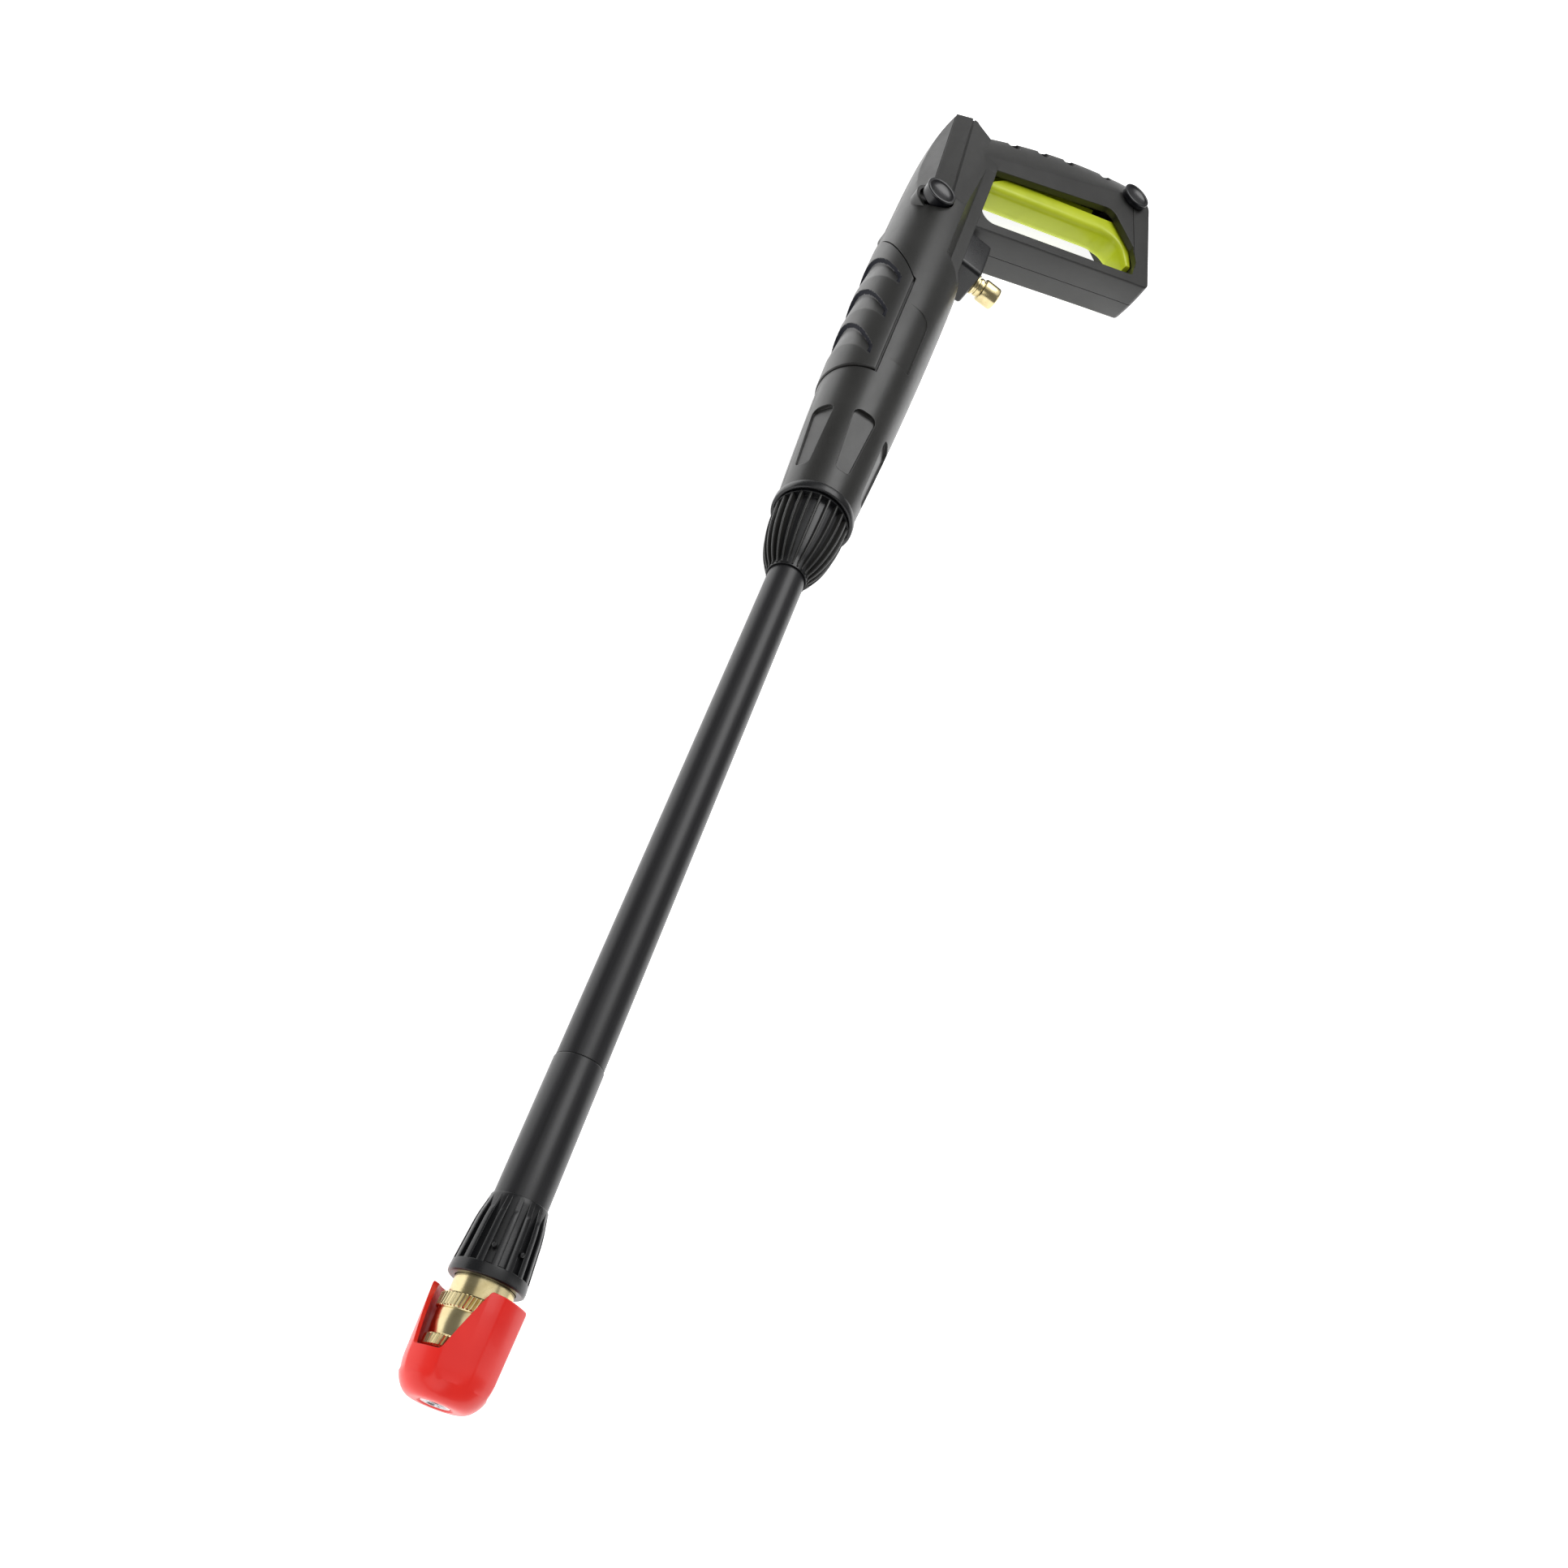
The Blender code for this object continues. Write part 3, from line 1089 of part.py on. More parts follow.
def nozzle_guard(red):
    """Red guard: a cup round the coupler with two tapering windows and a hole for the spray."""
    inner = GUARD_RADIUS - GUARD_WALL
    profile = [(GUARD_REAR, inner), (GUARD_REAR, GUARD_RADIUS - 0.4), (GUARD_REAR - 0.6, GUARD_RADIUS)]
    dome = 12.0
    flat = 8.0
    for i in range(5):
        angle = math.pi / 2 * i / 4
        along = GUARD_TIP + dome - dome * math.sin(angle)
        profile.append((along, flat + (GUARD_FRONT_RADIUS - flat) * math.cos(angle)))
    hex_room = 7.6
    profile += [(GUARD_TIP, GUARD_HOLE), (GUARD_FLOOR - 10.0, GUARD_HOLE), (GUARD_FLOOR - 10.0, hex_room)]
    profile += [(GUARD_FLOOR, hex_room), (GUARD_FLOOR, inner)]
    guard = turned("nozzle_guard", profile, red, segments=24, bored=True)
    for side in (0.0, math.pi):
        middle = math.pi / 2 + GUARD_WINDOW + side
        out = Vector((math.cos(middle), 0.0, math.sin(middle)))
        across = Vector((-math.sin(middle), 0.0, math.cos(middle)))
        rings = []
        for reach in (3.0, GUARD_RADIUS + 5.0):
            ring = []
            for along, half in ((GUARD_FLOOR + 0.6, 5.6), (GUARD_REAR + 3.0, 13.4)):
                for sign in (1, -1) if along < GUARD_REAR else (-1, 1):
                    ring.append(tuple(out * reach + across * (sign * half) + Vector((0, along, 0))))
            rings.append(ring)
        cut(guard, loft("window", rings))
    return guard


def foot_parts(plastic, steel):
    at = (FOOT_CAP_X, FOOT_CAP_Y)
    base = HANDLE_HALF_WIDTH + GAP
    top = HANDLE_HALF_WIDTH + FOOT_CAP_HEIGHT
    parts = []
    for side, name in ((1, "foot_cap_left"), (-1, "foot_cap_right")):
        parts.append(dished_button(name, side, base, top, FOOT_CAP_RADIUS, plastic, at))
    parts.append(pin("foot_bolt", at, FOOT_BOLT_RADIUS, -HANDLE_HALF_WIDTH, HANDLE_HALF_WIDTH, steel))
    return parts


def shell_screws(steel):
    screws = []
    for i, (x, y) in enumerate(SCREW_PLACES):
        top = screw_top(x, y)
        head = -(top - SCREW_HEAD - 1.2) - GAP
        outer = head - SCREW_HEAD
        profile = (
            (outer, 1.2), (outer, SCREW_HEAD_RADIUS - 0.5), (outer + 0.5, SCREW_HEAD_RADIUS),
            (head, SCREW_HEAD_RADIUS), (head, SCREW_RADIUS), (head + SCREW_LENGTH - 1, SCREW_RADIUS),
            (head + SCREW_LENGTH, 0.4),
        )
        socket = ((outer - 1.0, 1.2), (outer + 1.4, 1.2))
        screw = turned(f"shell_screw_{i + 1}", profile, steel, "Z", (x, y), 12)
        screws.append(cut(screw, turned("socket", socket, axis="Z", at=(x, y), segments=6)))
    return screws


def trigger_spring(steel):
    x = TRIGGER_SPRING_X
    start = trigger_front(x + TRIGGER_SPRING_RADIUS) + TRIGGER_RIB_DEPTH + 1.2
    end = grip_back(x - TRIGGER_SPRING_RADIUS) - 9.6
    coil = spring(
        "trigger_spring", start, end, TRIGGER_SPRING_RADIUS, TRIGGER_SPRING_WIRE, 5, steel, at=(x, 0.0)
    )
    return coil


def stand_on_ground():
    """Centres the object over the origin and sets its lowest point at z = 0."""
    bpy.context.view_layer.update()
    things = [thing for thing in bpy.data.objects if thing.type == "MESH"]
    corners = [vertex.co for thing in things for vertex in thing.data.vertices]
    low = Vector([min(c[i] for c in corners) for i in range(3)])
    high = Vector([max(c[i] for c in corners) for i in range(3)])
    shift = Vector((-(low.x + high.x) / 2, -(low.y + high.y) / 2, -low.z))
    for thing in things:
        thing.location = shift
    return shift


def set_origin(thing, place):
    """Moves an object's origin to a place in millimetres, leaving its shape where it is."""
    offset = Vector(place) * MM
    for vertex in thing.data.vertices:
        vertex.co -= offset
    thing.location += offset


def main():
    clear_scene()
    body = finish("charcoal_plastic", 0.5, 0.0, (0.06, 0.06, 0.055))
    black = finish("black_plastic", 0.4, 0.0, (0.012, 0.012, 0.014))
    lime = finish("lime_plastic", 0.35, 0.0, (0.62, 0.72, 0.03))
    red = finish("red_plastic", 0.18, 0.0, (0.8, 0.03, 0.02))
    brass = finish("brass", 0.2, 1.0, (0.82, 0.7, 0.42))
    steel = finish("steel", 0.3, 1.0, (0.6, 0.6, 0.62))
    rubber = finish("rubber", 0.7, 0.0, (0.02, 0.02, 0.02))
    casing("left_shell", 1, body)
    casing("right_shell", -1, body)
    lip_ring(black)
    pad_patch("foregrip_pad", 0.0, PAD_DEPTH, PAD_PROUD, body)
    strip_slab("left_side_strip", 1, 0.0, STRIP_DEPTH, STRIP_PROUD, body)
    strip_slab("right_side_strip", -1, 0.0, STRIP_DEPTH, STRIP_PROUD, body)
    lever = trigger(lime)
    pin("trigger_pin", (PIVOT_X, PIVOT_Y), PIN_RADIUS, -14.0, 14.0, steel)
    trigger_spring(steel)
    lock_parts(black, steel)
    valve_parts(brass, steel, rubber)
    tube("outlet_tube", SOCKET_END + GAP, VALVE_FRONT - GAP, OUTLET_RADIUS, OUTLET_BORE, steel, 16)
    lance_socket(brass)
    inlet_parts(black, brass, rubber)
    lance_parts(black, steel, brass, rubber)
    nozzle_cone(black)
    cone_pegs(black)
    coupler_parts(brass, steel, rubber)
    coupler_sleeve(brass)
    spray_tip(steel)
    nozzle_guard(red)
    foot_parts(black, steel)
    shell_screws(steel)
    stand_on_ground()
    set_origin(lever, (PIVOT_X, PIVOT_Y, 0.0))


main()
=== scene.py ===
import math

import bmesh
import bpy
from mathutils import Matrix, Vector


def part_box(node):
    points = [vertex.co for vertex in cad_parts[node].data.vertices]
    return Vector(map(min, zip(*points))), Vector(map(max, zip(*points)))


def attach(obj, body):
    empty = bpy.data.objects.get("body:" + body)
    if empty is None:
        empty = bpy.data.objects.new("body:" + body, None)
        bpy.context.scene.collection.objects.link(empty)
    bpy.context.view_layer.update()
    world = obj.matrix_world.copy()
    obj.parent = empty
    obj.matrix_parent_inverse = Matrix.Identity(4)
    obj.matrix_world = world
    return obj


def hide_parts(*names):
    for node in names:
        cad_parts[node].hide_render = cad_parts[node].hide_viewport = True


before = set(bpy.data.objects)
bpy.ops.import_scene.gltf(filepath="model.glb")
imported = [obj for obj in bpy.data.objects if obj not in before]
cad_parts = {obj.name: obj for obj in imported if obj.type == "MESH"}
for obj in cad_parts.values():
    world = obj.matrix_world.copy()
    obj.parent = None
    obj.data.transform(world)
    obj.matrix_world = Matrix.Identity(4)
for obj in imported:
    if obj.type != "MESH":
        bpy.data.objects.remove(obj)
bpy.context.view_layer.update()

# Every size below is in millimetres, measured from the lance's axis at the mouth of the barrel:
# y runs back along the gun, x towards the foot of the handle, z towards the gun's left side.
mm = 0.001
gap = 0.3
tubeLow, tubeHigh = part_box("lance_tube")
gunOrigin = Vector(((tubeLow.x + tubeHigh.x) / 2, tubeHigh.y + 12 * mm, (tubeLow.z + tubeHigh.z) / 2))


def place(point):
    return gunOrigin + Vector(point) * mm


def added(name, data):
    thing = bpy.data.objects.new(name, data)
    bpy.context.scene.collection.objects.link(thing)
    return thing


def softShade(mesh, sharpAngle=32.0):
    mesh.shade_smooth()
    mesh.set_sharp_from_angle(angle=math.radians(sharpAngle))


def loft(name, rings, closed=False, sharpAngle=32.0):
    # a skin over the rings, with its ends filled unless it closes on itself, smooth apart from its edges
    count = len(rings[0])
    points = [p for ring in rings for p in ring]
    faces = []
    for i in range(len(rings) - (0 if closed else 1)):
        a = i * count
        b = (i + 1) % len(rings) * count
        for j in range(count):
            k = (j + 1) % count
            faces.append((a + j, a + k, b + k, b + j))
    if not closed:
        faces.append(tuple(range(count)))
        faces.append(tuple(range(len(points) - count, len(points))))
    mesh = bpy.data.meshes.new(name)
    mesh.from_pydata([place(p) for p in points], [], faces)
    work = bmesh.new()
    work.from_mesh(mesh)
    bmesh.ops.remove_doubles(work, verts=work.verts, dist=1e-7)
    bmesh.ops.recalc_face_normals(work, faces=work.faces)
    work.to_mesh(mesh)
    work.free()
    softShade(mesh, sharpAngle)
    return added(name, mesh)


def turned(name, profile, axis="Y", at=(0.0, 0.0), segments=64, bored=False, shape=None):
    # the profile holds (along, radius); a bored one is a closed outline
    rings = []
    for along, radius in profile:
        ring = []
        for i in range(segments):
            angle = math.tau * i / segments
            out = max(radius * (shape(angle, along, radius) if shape else 1.0), 0.02)
            u = out * math.cos(angle)
            v = out * math.sin(angle)
            if axis == "Y":
                ring.append((at[0] + u, along, at[1] + v))
            elif axis == "X":
                ring.append((along, at[0] + u, at[1] + v))
            else:
                ring.append((at[0] + u, at[1] + v, along))
        rings.append(ring)
    return loft(name, rings, closed=bored)


def rod(name, low, high, radius, at, segments=64, axis="Z"):
    return turned(name, ((low, radius), (high, radius)), axis, at, segments)


def slab(name, outline, low, high):
    return loft(name, [[(x, y, z) for x, y in outline] for z in (low, high)])


def box(name, low, high):
    outline = ((low[0], low[1]), (high[0], low[1]), (high[0], high[1]), (low[0], high[1]))
    return slab(name, outline, low[2], high[2])


def together(things):
    # one tool from several that don't touch
    work = bmesh.new()
    for thing in things:
        work.from_mesh(thing.data)
        bpy.data.objects.remove(thing, do_unlink=True)
    mesh = bpy.data.meshes.new("tools")
    work.to_mesh(mesh)
    work.free()
    return added("tools", mesh)


def applied(thing):
    # the evaluated mesh takes the place of the modifiers
    graph = bpy.context.evaluated_depsgraph_get()
    mesh = bpy.data.meshes.new_from_object(thing.evaluated_get(graph))
    thing.modifiers.clear()
    old = thing.data
    name = old.name
    thing.data = mesh
    bpy.data.meshes.remove(old)
    mesh.name = name
    return thing


def combine(target, other, operation):
    step = target.modifiers.new(operation.title(), "BOOLEAN")
    step.operation = operation
    step.object = other
    step.solver = "EXACT"
    applied(target)
    work = bmesh.new()
    work.from_mesh(target.data)
    bmesh.ops.remove_doubles(work, verts=work.verts, dist=0.003 * mm)
    work.to_mesh(target.data)
    work.free()
    bpy.data.objects.remove(other, do_unlink=True)
    return target


def cut(target, *tools):
    for tool in tools:
        combine(target, tool, "DIFFERENCE")
    return target


def join(target, *others):
    for other in others:
        combine(target, other, "UNION")
    return target


def spread(start, end, count):
    return [start + (end - start) * i / (count - 1) for i in range(count)]


def radial(turn):
    # the directions out from the lance's axis and round it
    return Vector((math.cos(turn), 0.0, math.sin(turn))), Vector((-math.sin(turn), 0.0, math.cos(turn)))


def corner(before, tip, after, radius, steps=10):
    # points on an arc that touches both edges
    tip = Vector(tip)
    a = (Vector(before) - tip).normalized()
    b = (Vector(after) - tip).normalized()
    half = a.angle(b) / 2
    if half > 1.55:
        return [tuple(tip)]
    centre = tip + (a + b).normalized() * (radius / math.sin(half))
    start = (tip + a * (radius / math.tan(half)) - centre).normalized()
    end = (tip + b * (radius / math.tan(half)) - centre).normalized()
    return [tuple(centre + start.slerp(end, i / steps) * radius) for i in range(steps + 1)]


def roundedOutline(points, radii, steps=8):
    outline = []
    for i, tip in enumerate(points):
        radius = radii[i] if isinstance(radii, (list, tuple)) else radii
        if radius:
            outline += corner(points[i - 1], tip, points[(i + 1) % len(points)], radius, steps)
        else:
            outline.append(tuple(tip))
    return outline


def inset(outline, depth, weights=None):
    # the outline moved inwards, each point by its own share of the depth
    count = len(outline)
    weights = weights or [1.0] * count
    points = [Vector(p) for p in outline]
    area = sum(points[i - 1].cross(points[i]) for i in range(count))
    turn = 1.0 if area > 0 else -1.0
    moved = []
    for i in range(count):
        a = (points[i] - points[i - 1]).normalized()
        b = (points[(i + 1) % count] - points[i]).normalized()
        normalA = Vector((-a.y, a.x)) * turn
        normalB = Vector((-b.y, b.x)) * turn
        bisector = (normalA + normalB).normalized()
        moved.append(tuple(points[i] + bisector * (depth * weights[i] / bisector.dot(normalA))))
    return moved


def softSlab(name, outline, half, edge, weights=None, steps=9):
    # a slab about the middle plane with rounded long edges
    rings = []
    for i in range(steps + 1):
        turn = math.pi / 2 * i / steps
        ring = inset(outline, edge * (1 - math.sin(turn)), weights)
        rings.append([(x, y, edge * (1 - math.cos(turn)) - half) for x, y in ring])
    rings += [[(x, y, -z) for x, y, z in ring] for ring in reversed(rings)]
    return loft(name, rings)


class Wire:
    # a socket that can be added, multiplied and so on; each step is a Math node
    def __init__(self, tree, socket):
        self.tree = tree
        self.socket = socket

    def maths(self, operation, *values):
        settings = {"operation": operation}
        return addNode(self.tree, "ShaderNodeMath", settings, dict(enumerate(values)))

    def __add__(self, other):
        return self.maths("ADD", self, other)

    def __sub__(self, other):
        return self.maths("SUBTRACT", self, other)

    def __rsub__(self, other):
        return self.maths("SUBTRACT", other, self)

    def __mul__(self, other):
        return self.maths("MULTIPLY", self, other)

    def __truediv__(self, other):
        return self.maths("DIVIDE", self, other)

    def between(self, low, high):
        # 0 at low, 1 at high, clamped
        values = {"Value": self, "From Min": low, "From Max": high}
        return addNode(self.tree, "ShaderNodeMapRange", {"clamp": True}, values)

    __radd__ = __add__
    __rmul__ = __mul__


def addNode(tree, kind, settings=None, values=None, output=0):
    # any node: its type, its settings, then the values or links of its sockets
    node = tree.nodes.new(kind)
    for key, value in (settings or {}).items():
        setattr(node, key, value)
    for key, value in (values or {}).items():
        if isinstance(value, Wire):
            tree.links.new(value.socket, node.inputs[key])
        else:
            node.inputs[key].default_value = value
    return Wire(tree, node.outputs[output])


class Finish:
    # one procedural material on the piece's own Object coordinates
    def __init__(self, name):
        self.material = bpy.data.materials.new(name)
        self.material.use_nodes = True
        self.tree = self.material.node_tree
        self.shader = self.tree.nodes["Principled BSDF"]
        self.coords = self.add("ShaderNodeTexCoord", output=3)

    def add(self, kind, settings=None, values=None, output=0):
        return addNode(self.tree, kind, settings, values, output)

    def noise(self, size, detail=2.0, rough=0.5, stretch=None):
        # size is the width of one blotch in millimetres
        vector = self.coords
        if stretch:
            vector = self.add("ShaderNodeMapping", None, {"Vector": vector, "Scale": stretch})
        values = {"Vector": vector, "Scale": 1 / (size * mm), "Detail": detail, "Roughness": rough}
        return self.add("ShaderNodeTexNoise", None, values)

    def blend(self, factor, first, second):
        values = {0: factor, 6: (*first, 1.0) if isinstance(first, tuple) else first}
        values[7] = (*second, 1.0) if isinstance(second, tuple) else second
        return self.add("ShaderNodeMix", {"data_type": "RGBA"}, values, 2)

    def relief(self, height, strength, distance, rounding=0.0):
        values = {"Height": height, "Strength": strength, "Distance": distance * mm}
        if rounding:
            edge = {"Radius": rounding * mm}
            values["Normal"] = self.add("ShaderNodeBevel", {"samples": 6}, edge)
        return self.add("ShaderNodeBump", None, values)

    def done(self, colour, roughness, normal=None, metallic=0.0, **fixed):
        links = {"Base Color": colour, "Roughness": roughness, "Metallic": metallic, "Normal": normal}
        for key, value in links.items():
            if isinstance(value, Wire):
                self.tree.links.new(value.socket, self.shader.inputs[key])
            elif value is not None:
                self.shader.inputs[key].default_value = value
        for key, value in fixed.items():
            self.shader.inputs[key.replace("_", " ")].default_value = value
        return self.material


def grainedPlastic(name, dark, light, roughness, grain, rounding=0.5, pit=0.05, **fixed):
    # moulded plastic: fine spark grain, slow shifts of tone and a little handling polish
    finish = Finish(name)
    slow = finish.noise(38.0, 3.0)
    fine = finish.noise(grain, 2.0, 0.6)
    smear = finish.noise(9.0, 4.0, 0.65, (1.0, 0.35, 1.0))
    tone = (slow * 0.7 + fine * 0.3).between(0.3, 0.72)
    colour = finish.blend(tone, dark, light)
    gloss = (smear - 0.5) * 0.16 + (fine - 0.5) * 0.1 + roughness
    normal = finish.relief(fine, 0.35, pit, rounding)
    return finish.done(colour, gloss, normal, **fixed)


def polishedMetal(name, dark, light, roughness, lines):
    # turned metal: fine tool lines round the axis and faint tarnish
    finish = Finish(name)
    turning = finish.noise(lines, 2.0, 0.7, (0.04, 1.0, 0.04))
    tarnish = finish.noise(7.0, 3.0, 0.55)
    colour = finish.blend(tarnish.between(0.45, 0.85), light, dark)
    gloss = turning * 0.08 + (tarnish - 0.5) * 0.08 + roughness
    normal = finish.relief(turning, 0.05, 0.02)
    return finish.done(colour, gloss, normal, 1.0)


def glossyPlastic(name, dark, light, roughness, rounding, coat, shine=0.5):
    # smooth bright moulding with slight flow marks
    finish = Finish(name)
    slow = finish.noise(24.0, 2.0)
    fine = finish.noise(1.1, 3.0, 0.6)
    colour = finish.blend(slow.between(0.3, 0.7), dark, light)
    gloss = (fine - 0.5) * 0.1 + roughness
    normal = finish.relief(slow * 0.8 + fine * 0.2, 0.12, 0.12, rounding)
    fixed = {"Coat_Weight": coat, "Coat_Roughness": 0.04, "Specular_IOR_Level": shine}
    return finish.done(colour, gloss, normal, **fixed)


def coatedTube(name):
    # satin coating over drawn tube: long faint lines and a dusting of specks
    finish = Finish(name)
    drawn = finish.noise(1.6, 3.0, 0.6, (1.0, 0.02, 1.0))
    specks = finish.noise(0.5, 2.0, 0.7)
    colour = finish.blend(drawn.between(0.3, 0.7), (0.007, 0.007, 0.008), (0.014, 0.014, 0.016))
    gloss = (drawn - 0.5) * 0.08 + specks.between(0.62, 0.8) * 0.12 + 0.36
    return finish.done(colour, gloss, finish.relief(drawn * 0.6 + specks * 0.4, 0.12, 0.03))


casingTones = ((0.017, 0.017, 0.0158), (0.027, 0.027, 0.0252))
charcoal = grainedPlastic("charcoalCasing", *casingTones, 0.35, 0.45, 0.6)
padPlastic = grainedPlastic("foregripPad", *casingTones, 0.36, 0.45, 0.3)
satinBlack = grainedPlastic("satinBlackMoulding", (0.004, 0.0042, 0.005), (0.009, 0.0095, 0.011), 0.3, 0.6, 0.3)
glossBlack = glossyPlastic("glossBlackButton", (0.005, 0.005, 0.0065), (0.009, 0.009, 0.012), 0.3, 0.3, 0.15)
lime = glossyPlastic("limeTrigger", (0.56, 0.66, 0.014), (0.64, 0.74, 0.020), 0.38, 0.5, 0.1)
red = glossyPlastic("redGuard", (0.86, 0.022, 0.016), (0.98, 0.034, 0.024), 0.3, 0.25, 0.08, 0.3)
brass = polishedMetal("paleBrass", (0.50, 0.40, 0.18), (0.70, 0.60, 0.34), 0.19, 0.5)
steel = polishedMetal("turnedSteel", (0.36, 0.36, 0.37), (0.62, 0.62, 0.64), 0.22, 0.4)
# a darker finish for the walls of the finger places: painted shade in the recesses
hookShade = glossyPlastic("navyInlay", (0.003, 0.004, 0.009), (0.005, 0.006, 0.014), 0.65, 0.0, 0.0, 0.15)
rubber = grainedPlastic("sealRubber", (0.008, 0.008, 0.008), (0.014, 0.014, 0.014), 0.62, 0.5, 0.0)
lanceCoat = coatedTube("lanceCoating")
print("finishes made")


def finished(thing, material, body, *cadNodes):
    thing.data.materials.clear()
    thing.data.materials.append(material)
    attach(thing, body)
    if cadNodes:
        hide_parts(*cadNodes)
    return thing


casing = {
    "start": 4.0, "mid": 260.0, "end": 431.0, "frontRadius": 20.8, "midRadius": 28.7, "tailRadius": 19.5,
    "wall": 2.8, "segments": 120, "halfWidth": 16.0, "reach": 157.5, "barRoot": 303.3, "barRake": 30.8,
    "barThickness": 8.0, "gripRoot": 380.4, "gripRake": 39.1, "backRoot": 421.0, "backRake": 35.3,
    "palmSwell": 7.5, "keel": 20.0, "keelFront": 243.0, "facetTop": 5.0, "facetFoot": 12.0, "facetZ": 18.5,
    "underside": -6.5, "flankStart": 298.0, "seamStart": (-18.0, 22.5), "seamEnd": (-19.4, 5.0),
    "bandStart": (-6.6, 28.0), "bandEnd": (-8.2, 10.0), "crownSlope": 49.0, "footWall": 13.0,
    "footLean": 13.5, "windowRoot": 20.0, "windowRake": 35.0, "gusset": 26.0, "seamGap": 0.3,
    "triggerRoot": 369.0, "triggerRake": 30.5, "windowBack": 381.5, "mouthRadius": 13.3,
    "pivot": (12.0, 350.0), "lock": (-13.3, 284.0), "footCap": (128.5, 480.0),
}
# bosses and holes of the casing: how far from the middle plane each starts and ends, and its radius
lockBoss, buttonRoom, pinBoss = (15.0, 22.5, 13.0), (18.5, 38.7, 10.8), (11.6, 16.0, 6.0)
holes = {"lockShaft": (38.7, 4.3), "pin": (14.3, 2.8), "footBolt": (20.0, 3.3), "screw": (3.4, 3.3), "reach": 9.0}
inletRoom = ((15.7, 265.7, -13.3), (42.5, 302.8, 13.3))
screwPlaces = ((-17.0, 68.0), (17.0, 90.0), (-17.0, 262.0), (18.0, 210.0), (62.0, 334.6), (-1.0, 394.0))


def slope(degrees):
    return math.tan(math.radians(degrees))


def barrelRadius(y):
    if y < casing["mid"]:
        share = (casing["mid"] - y) / (casing["mid"] - casing["start"])
        return casing["midRadius"] - (casing["midRadius"] - casing["frontRadius"]) * share**2
    share = (y - casing["mid"]) / (casing["end"] - casing["mid"])
    return casing["midRadius"] - (casing["midRadius"] - casing["tailRadius"]) * share**3.5


def barrelForm():
    profile = [(y, barrelRadius(y)) for y in spread(casing["start"], casing["mid"], 40)]
    profile += [(y, barrelRadius(y)) for y in spread(casing["mid"], casing["end"] - 1.0, 34)[1:]]
    profile += [(casing["end"] - 0.4, casing["tailRadius"] - 0.6), (casing["end"], casing["tailRadius"] - 1.5)]
    return turned("barrelForm", profile, segments=casing["segments"])


def planeBlock(name, points, side, depth=0.0):
    # a block on the outer side of a plane through three points of the casing
    a, b, c = (Vector((p[0], p[1], side * p[2])) for p in points)
    along = (b - a).normalized()
    out = along.cross(c - a).normalized()
    if out.z * side < 0:
        out = -out
    across = out.cross(along)
    base = a - out * depth
    corners = [base + along * u + across * v for u, v in ((-180, -90), (260, -90), (260, 90), (-180, 90))]
    return loft(name, [[tuple(p + out * lift) for p in corners] for lift in (0.0, 45.0)])


def keelTools(depth):
    # everything outside the flat keel, the sloping sides and the tail's flanks
    keel = casing["keel"] - depth
    under = casing["underside"] - depth
    front = casing["keelFront"]
    outline = [(keel, front), (keel, 400.0), (8.0 - depth, 421.0), (under + 4.0, 429.0), (under, 436.0)]
    outline += [(under, 500.0), (80.0, 500.0), (80.0, 190.0), (keel + 11.0, front - 29.0)]
    tools = [slab("keel", outline, -60.0, 60.0)]
    top = math.sqrt(casing["midRadius"] ** 2 - casing["facetTop"] ** 2)
    start, end = casing["seamStart"], casing["seamEnd"]
    lowStart, lowEnd = casing["bandStart"], casing["bandEnd"]
    rear, tail = casing["flankStart"], casing["end"]
    seam = [(start[0], rear, start[1]), (end[0], tail, end[1])]
    lean = math.radians(casing["crownSlope"])
    crown = (start[0] - math.cos(lean), rear, start[1] - math.sin(lean))
    edge = (lowStart[0], rear, lowStart[1])
    flank = [edge, (lowEnd[0], tail, lowEnd[1]), (edge[0] + 10.0, edge[1], edge[2])]
    for side in (1, -1):
        edges = [(casing["facetTop"] - depth, top + 0.5)]
        edges += [(casing["facetFoot"] - depth, casing["facetZ"] - depth / 2)]
        edges += [(casing["keel"] + 20.0, casing["halfWidth"] - depth / 2), (casing["keel"] + 20.0, 60.0)]
        edges += [(casing["facetTop"] - depth, 60.0)]
        ends = ((236.0, -0.4), (500.0, 0.0))
        rings = [[(x, y + (x - 5.0) * rake, side * z) for x, z in edges] for y, rake in ends]
        tools.append(loft("facet", rings))
        tools.append(planeBlock("band", seam + [edge], side, depth))
        tools.append(planeBlock("crown", seam + [crown], side, depth))
        tools.append(planeBlock("flank", flank, side, depth))
    return tools


def barrelHollow():
    start = casing["start"] + casing["wall"]
    end = casing["end"] - casing["wall"] - 2.0
    mouth = casing["mouthRadius"]
    profile = [(casing["start"] - 1.0, mouth), (start, mouth), (start + 0.01, barrelRadius(start) - casing["wall"])]
    profile += [(y, barrelRadius(y) - casing["wall"]) for y in spread(start + 5.0, end, 24)]
    return cut(turned("hollow", profile, segments=48), *keelTools(casing["wall"]))


def frontEdge(x):
    return casing["barRoot"] + (x - 17.7) * slope(casing["barRake"])


def gripSideEdge(x):
    return casing["gripRoot"] + x * slope(casing["gripRake"])


def gripBack(x):
    share = (x - 8.0) / 116.0
    swell = casing["palmSwell"] * 4 * share * (1 - share)
    return casing["backRoot"] + (x - 8.0) * slope(casing["backRake"]) + swell


def footEdge(y):
    return casing["reach"] + 0.5 - (y - frontEdge(casing["reach"])) * casing["footLean"] / 98.0


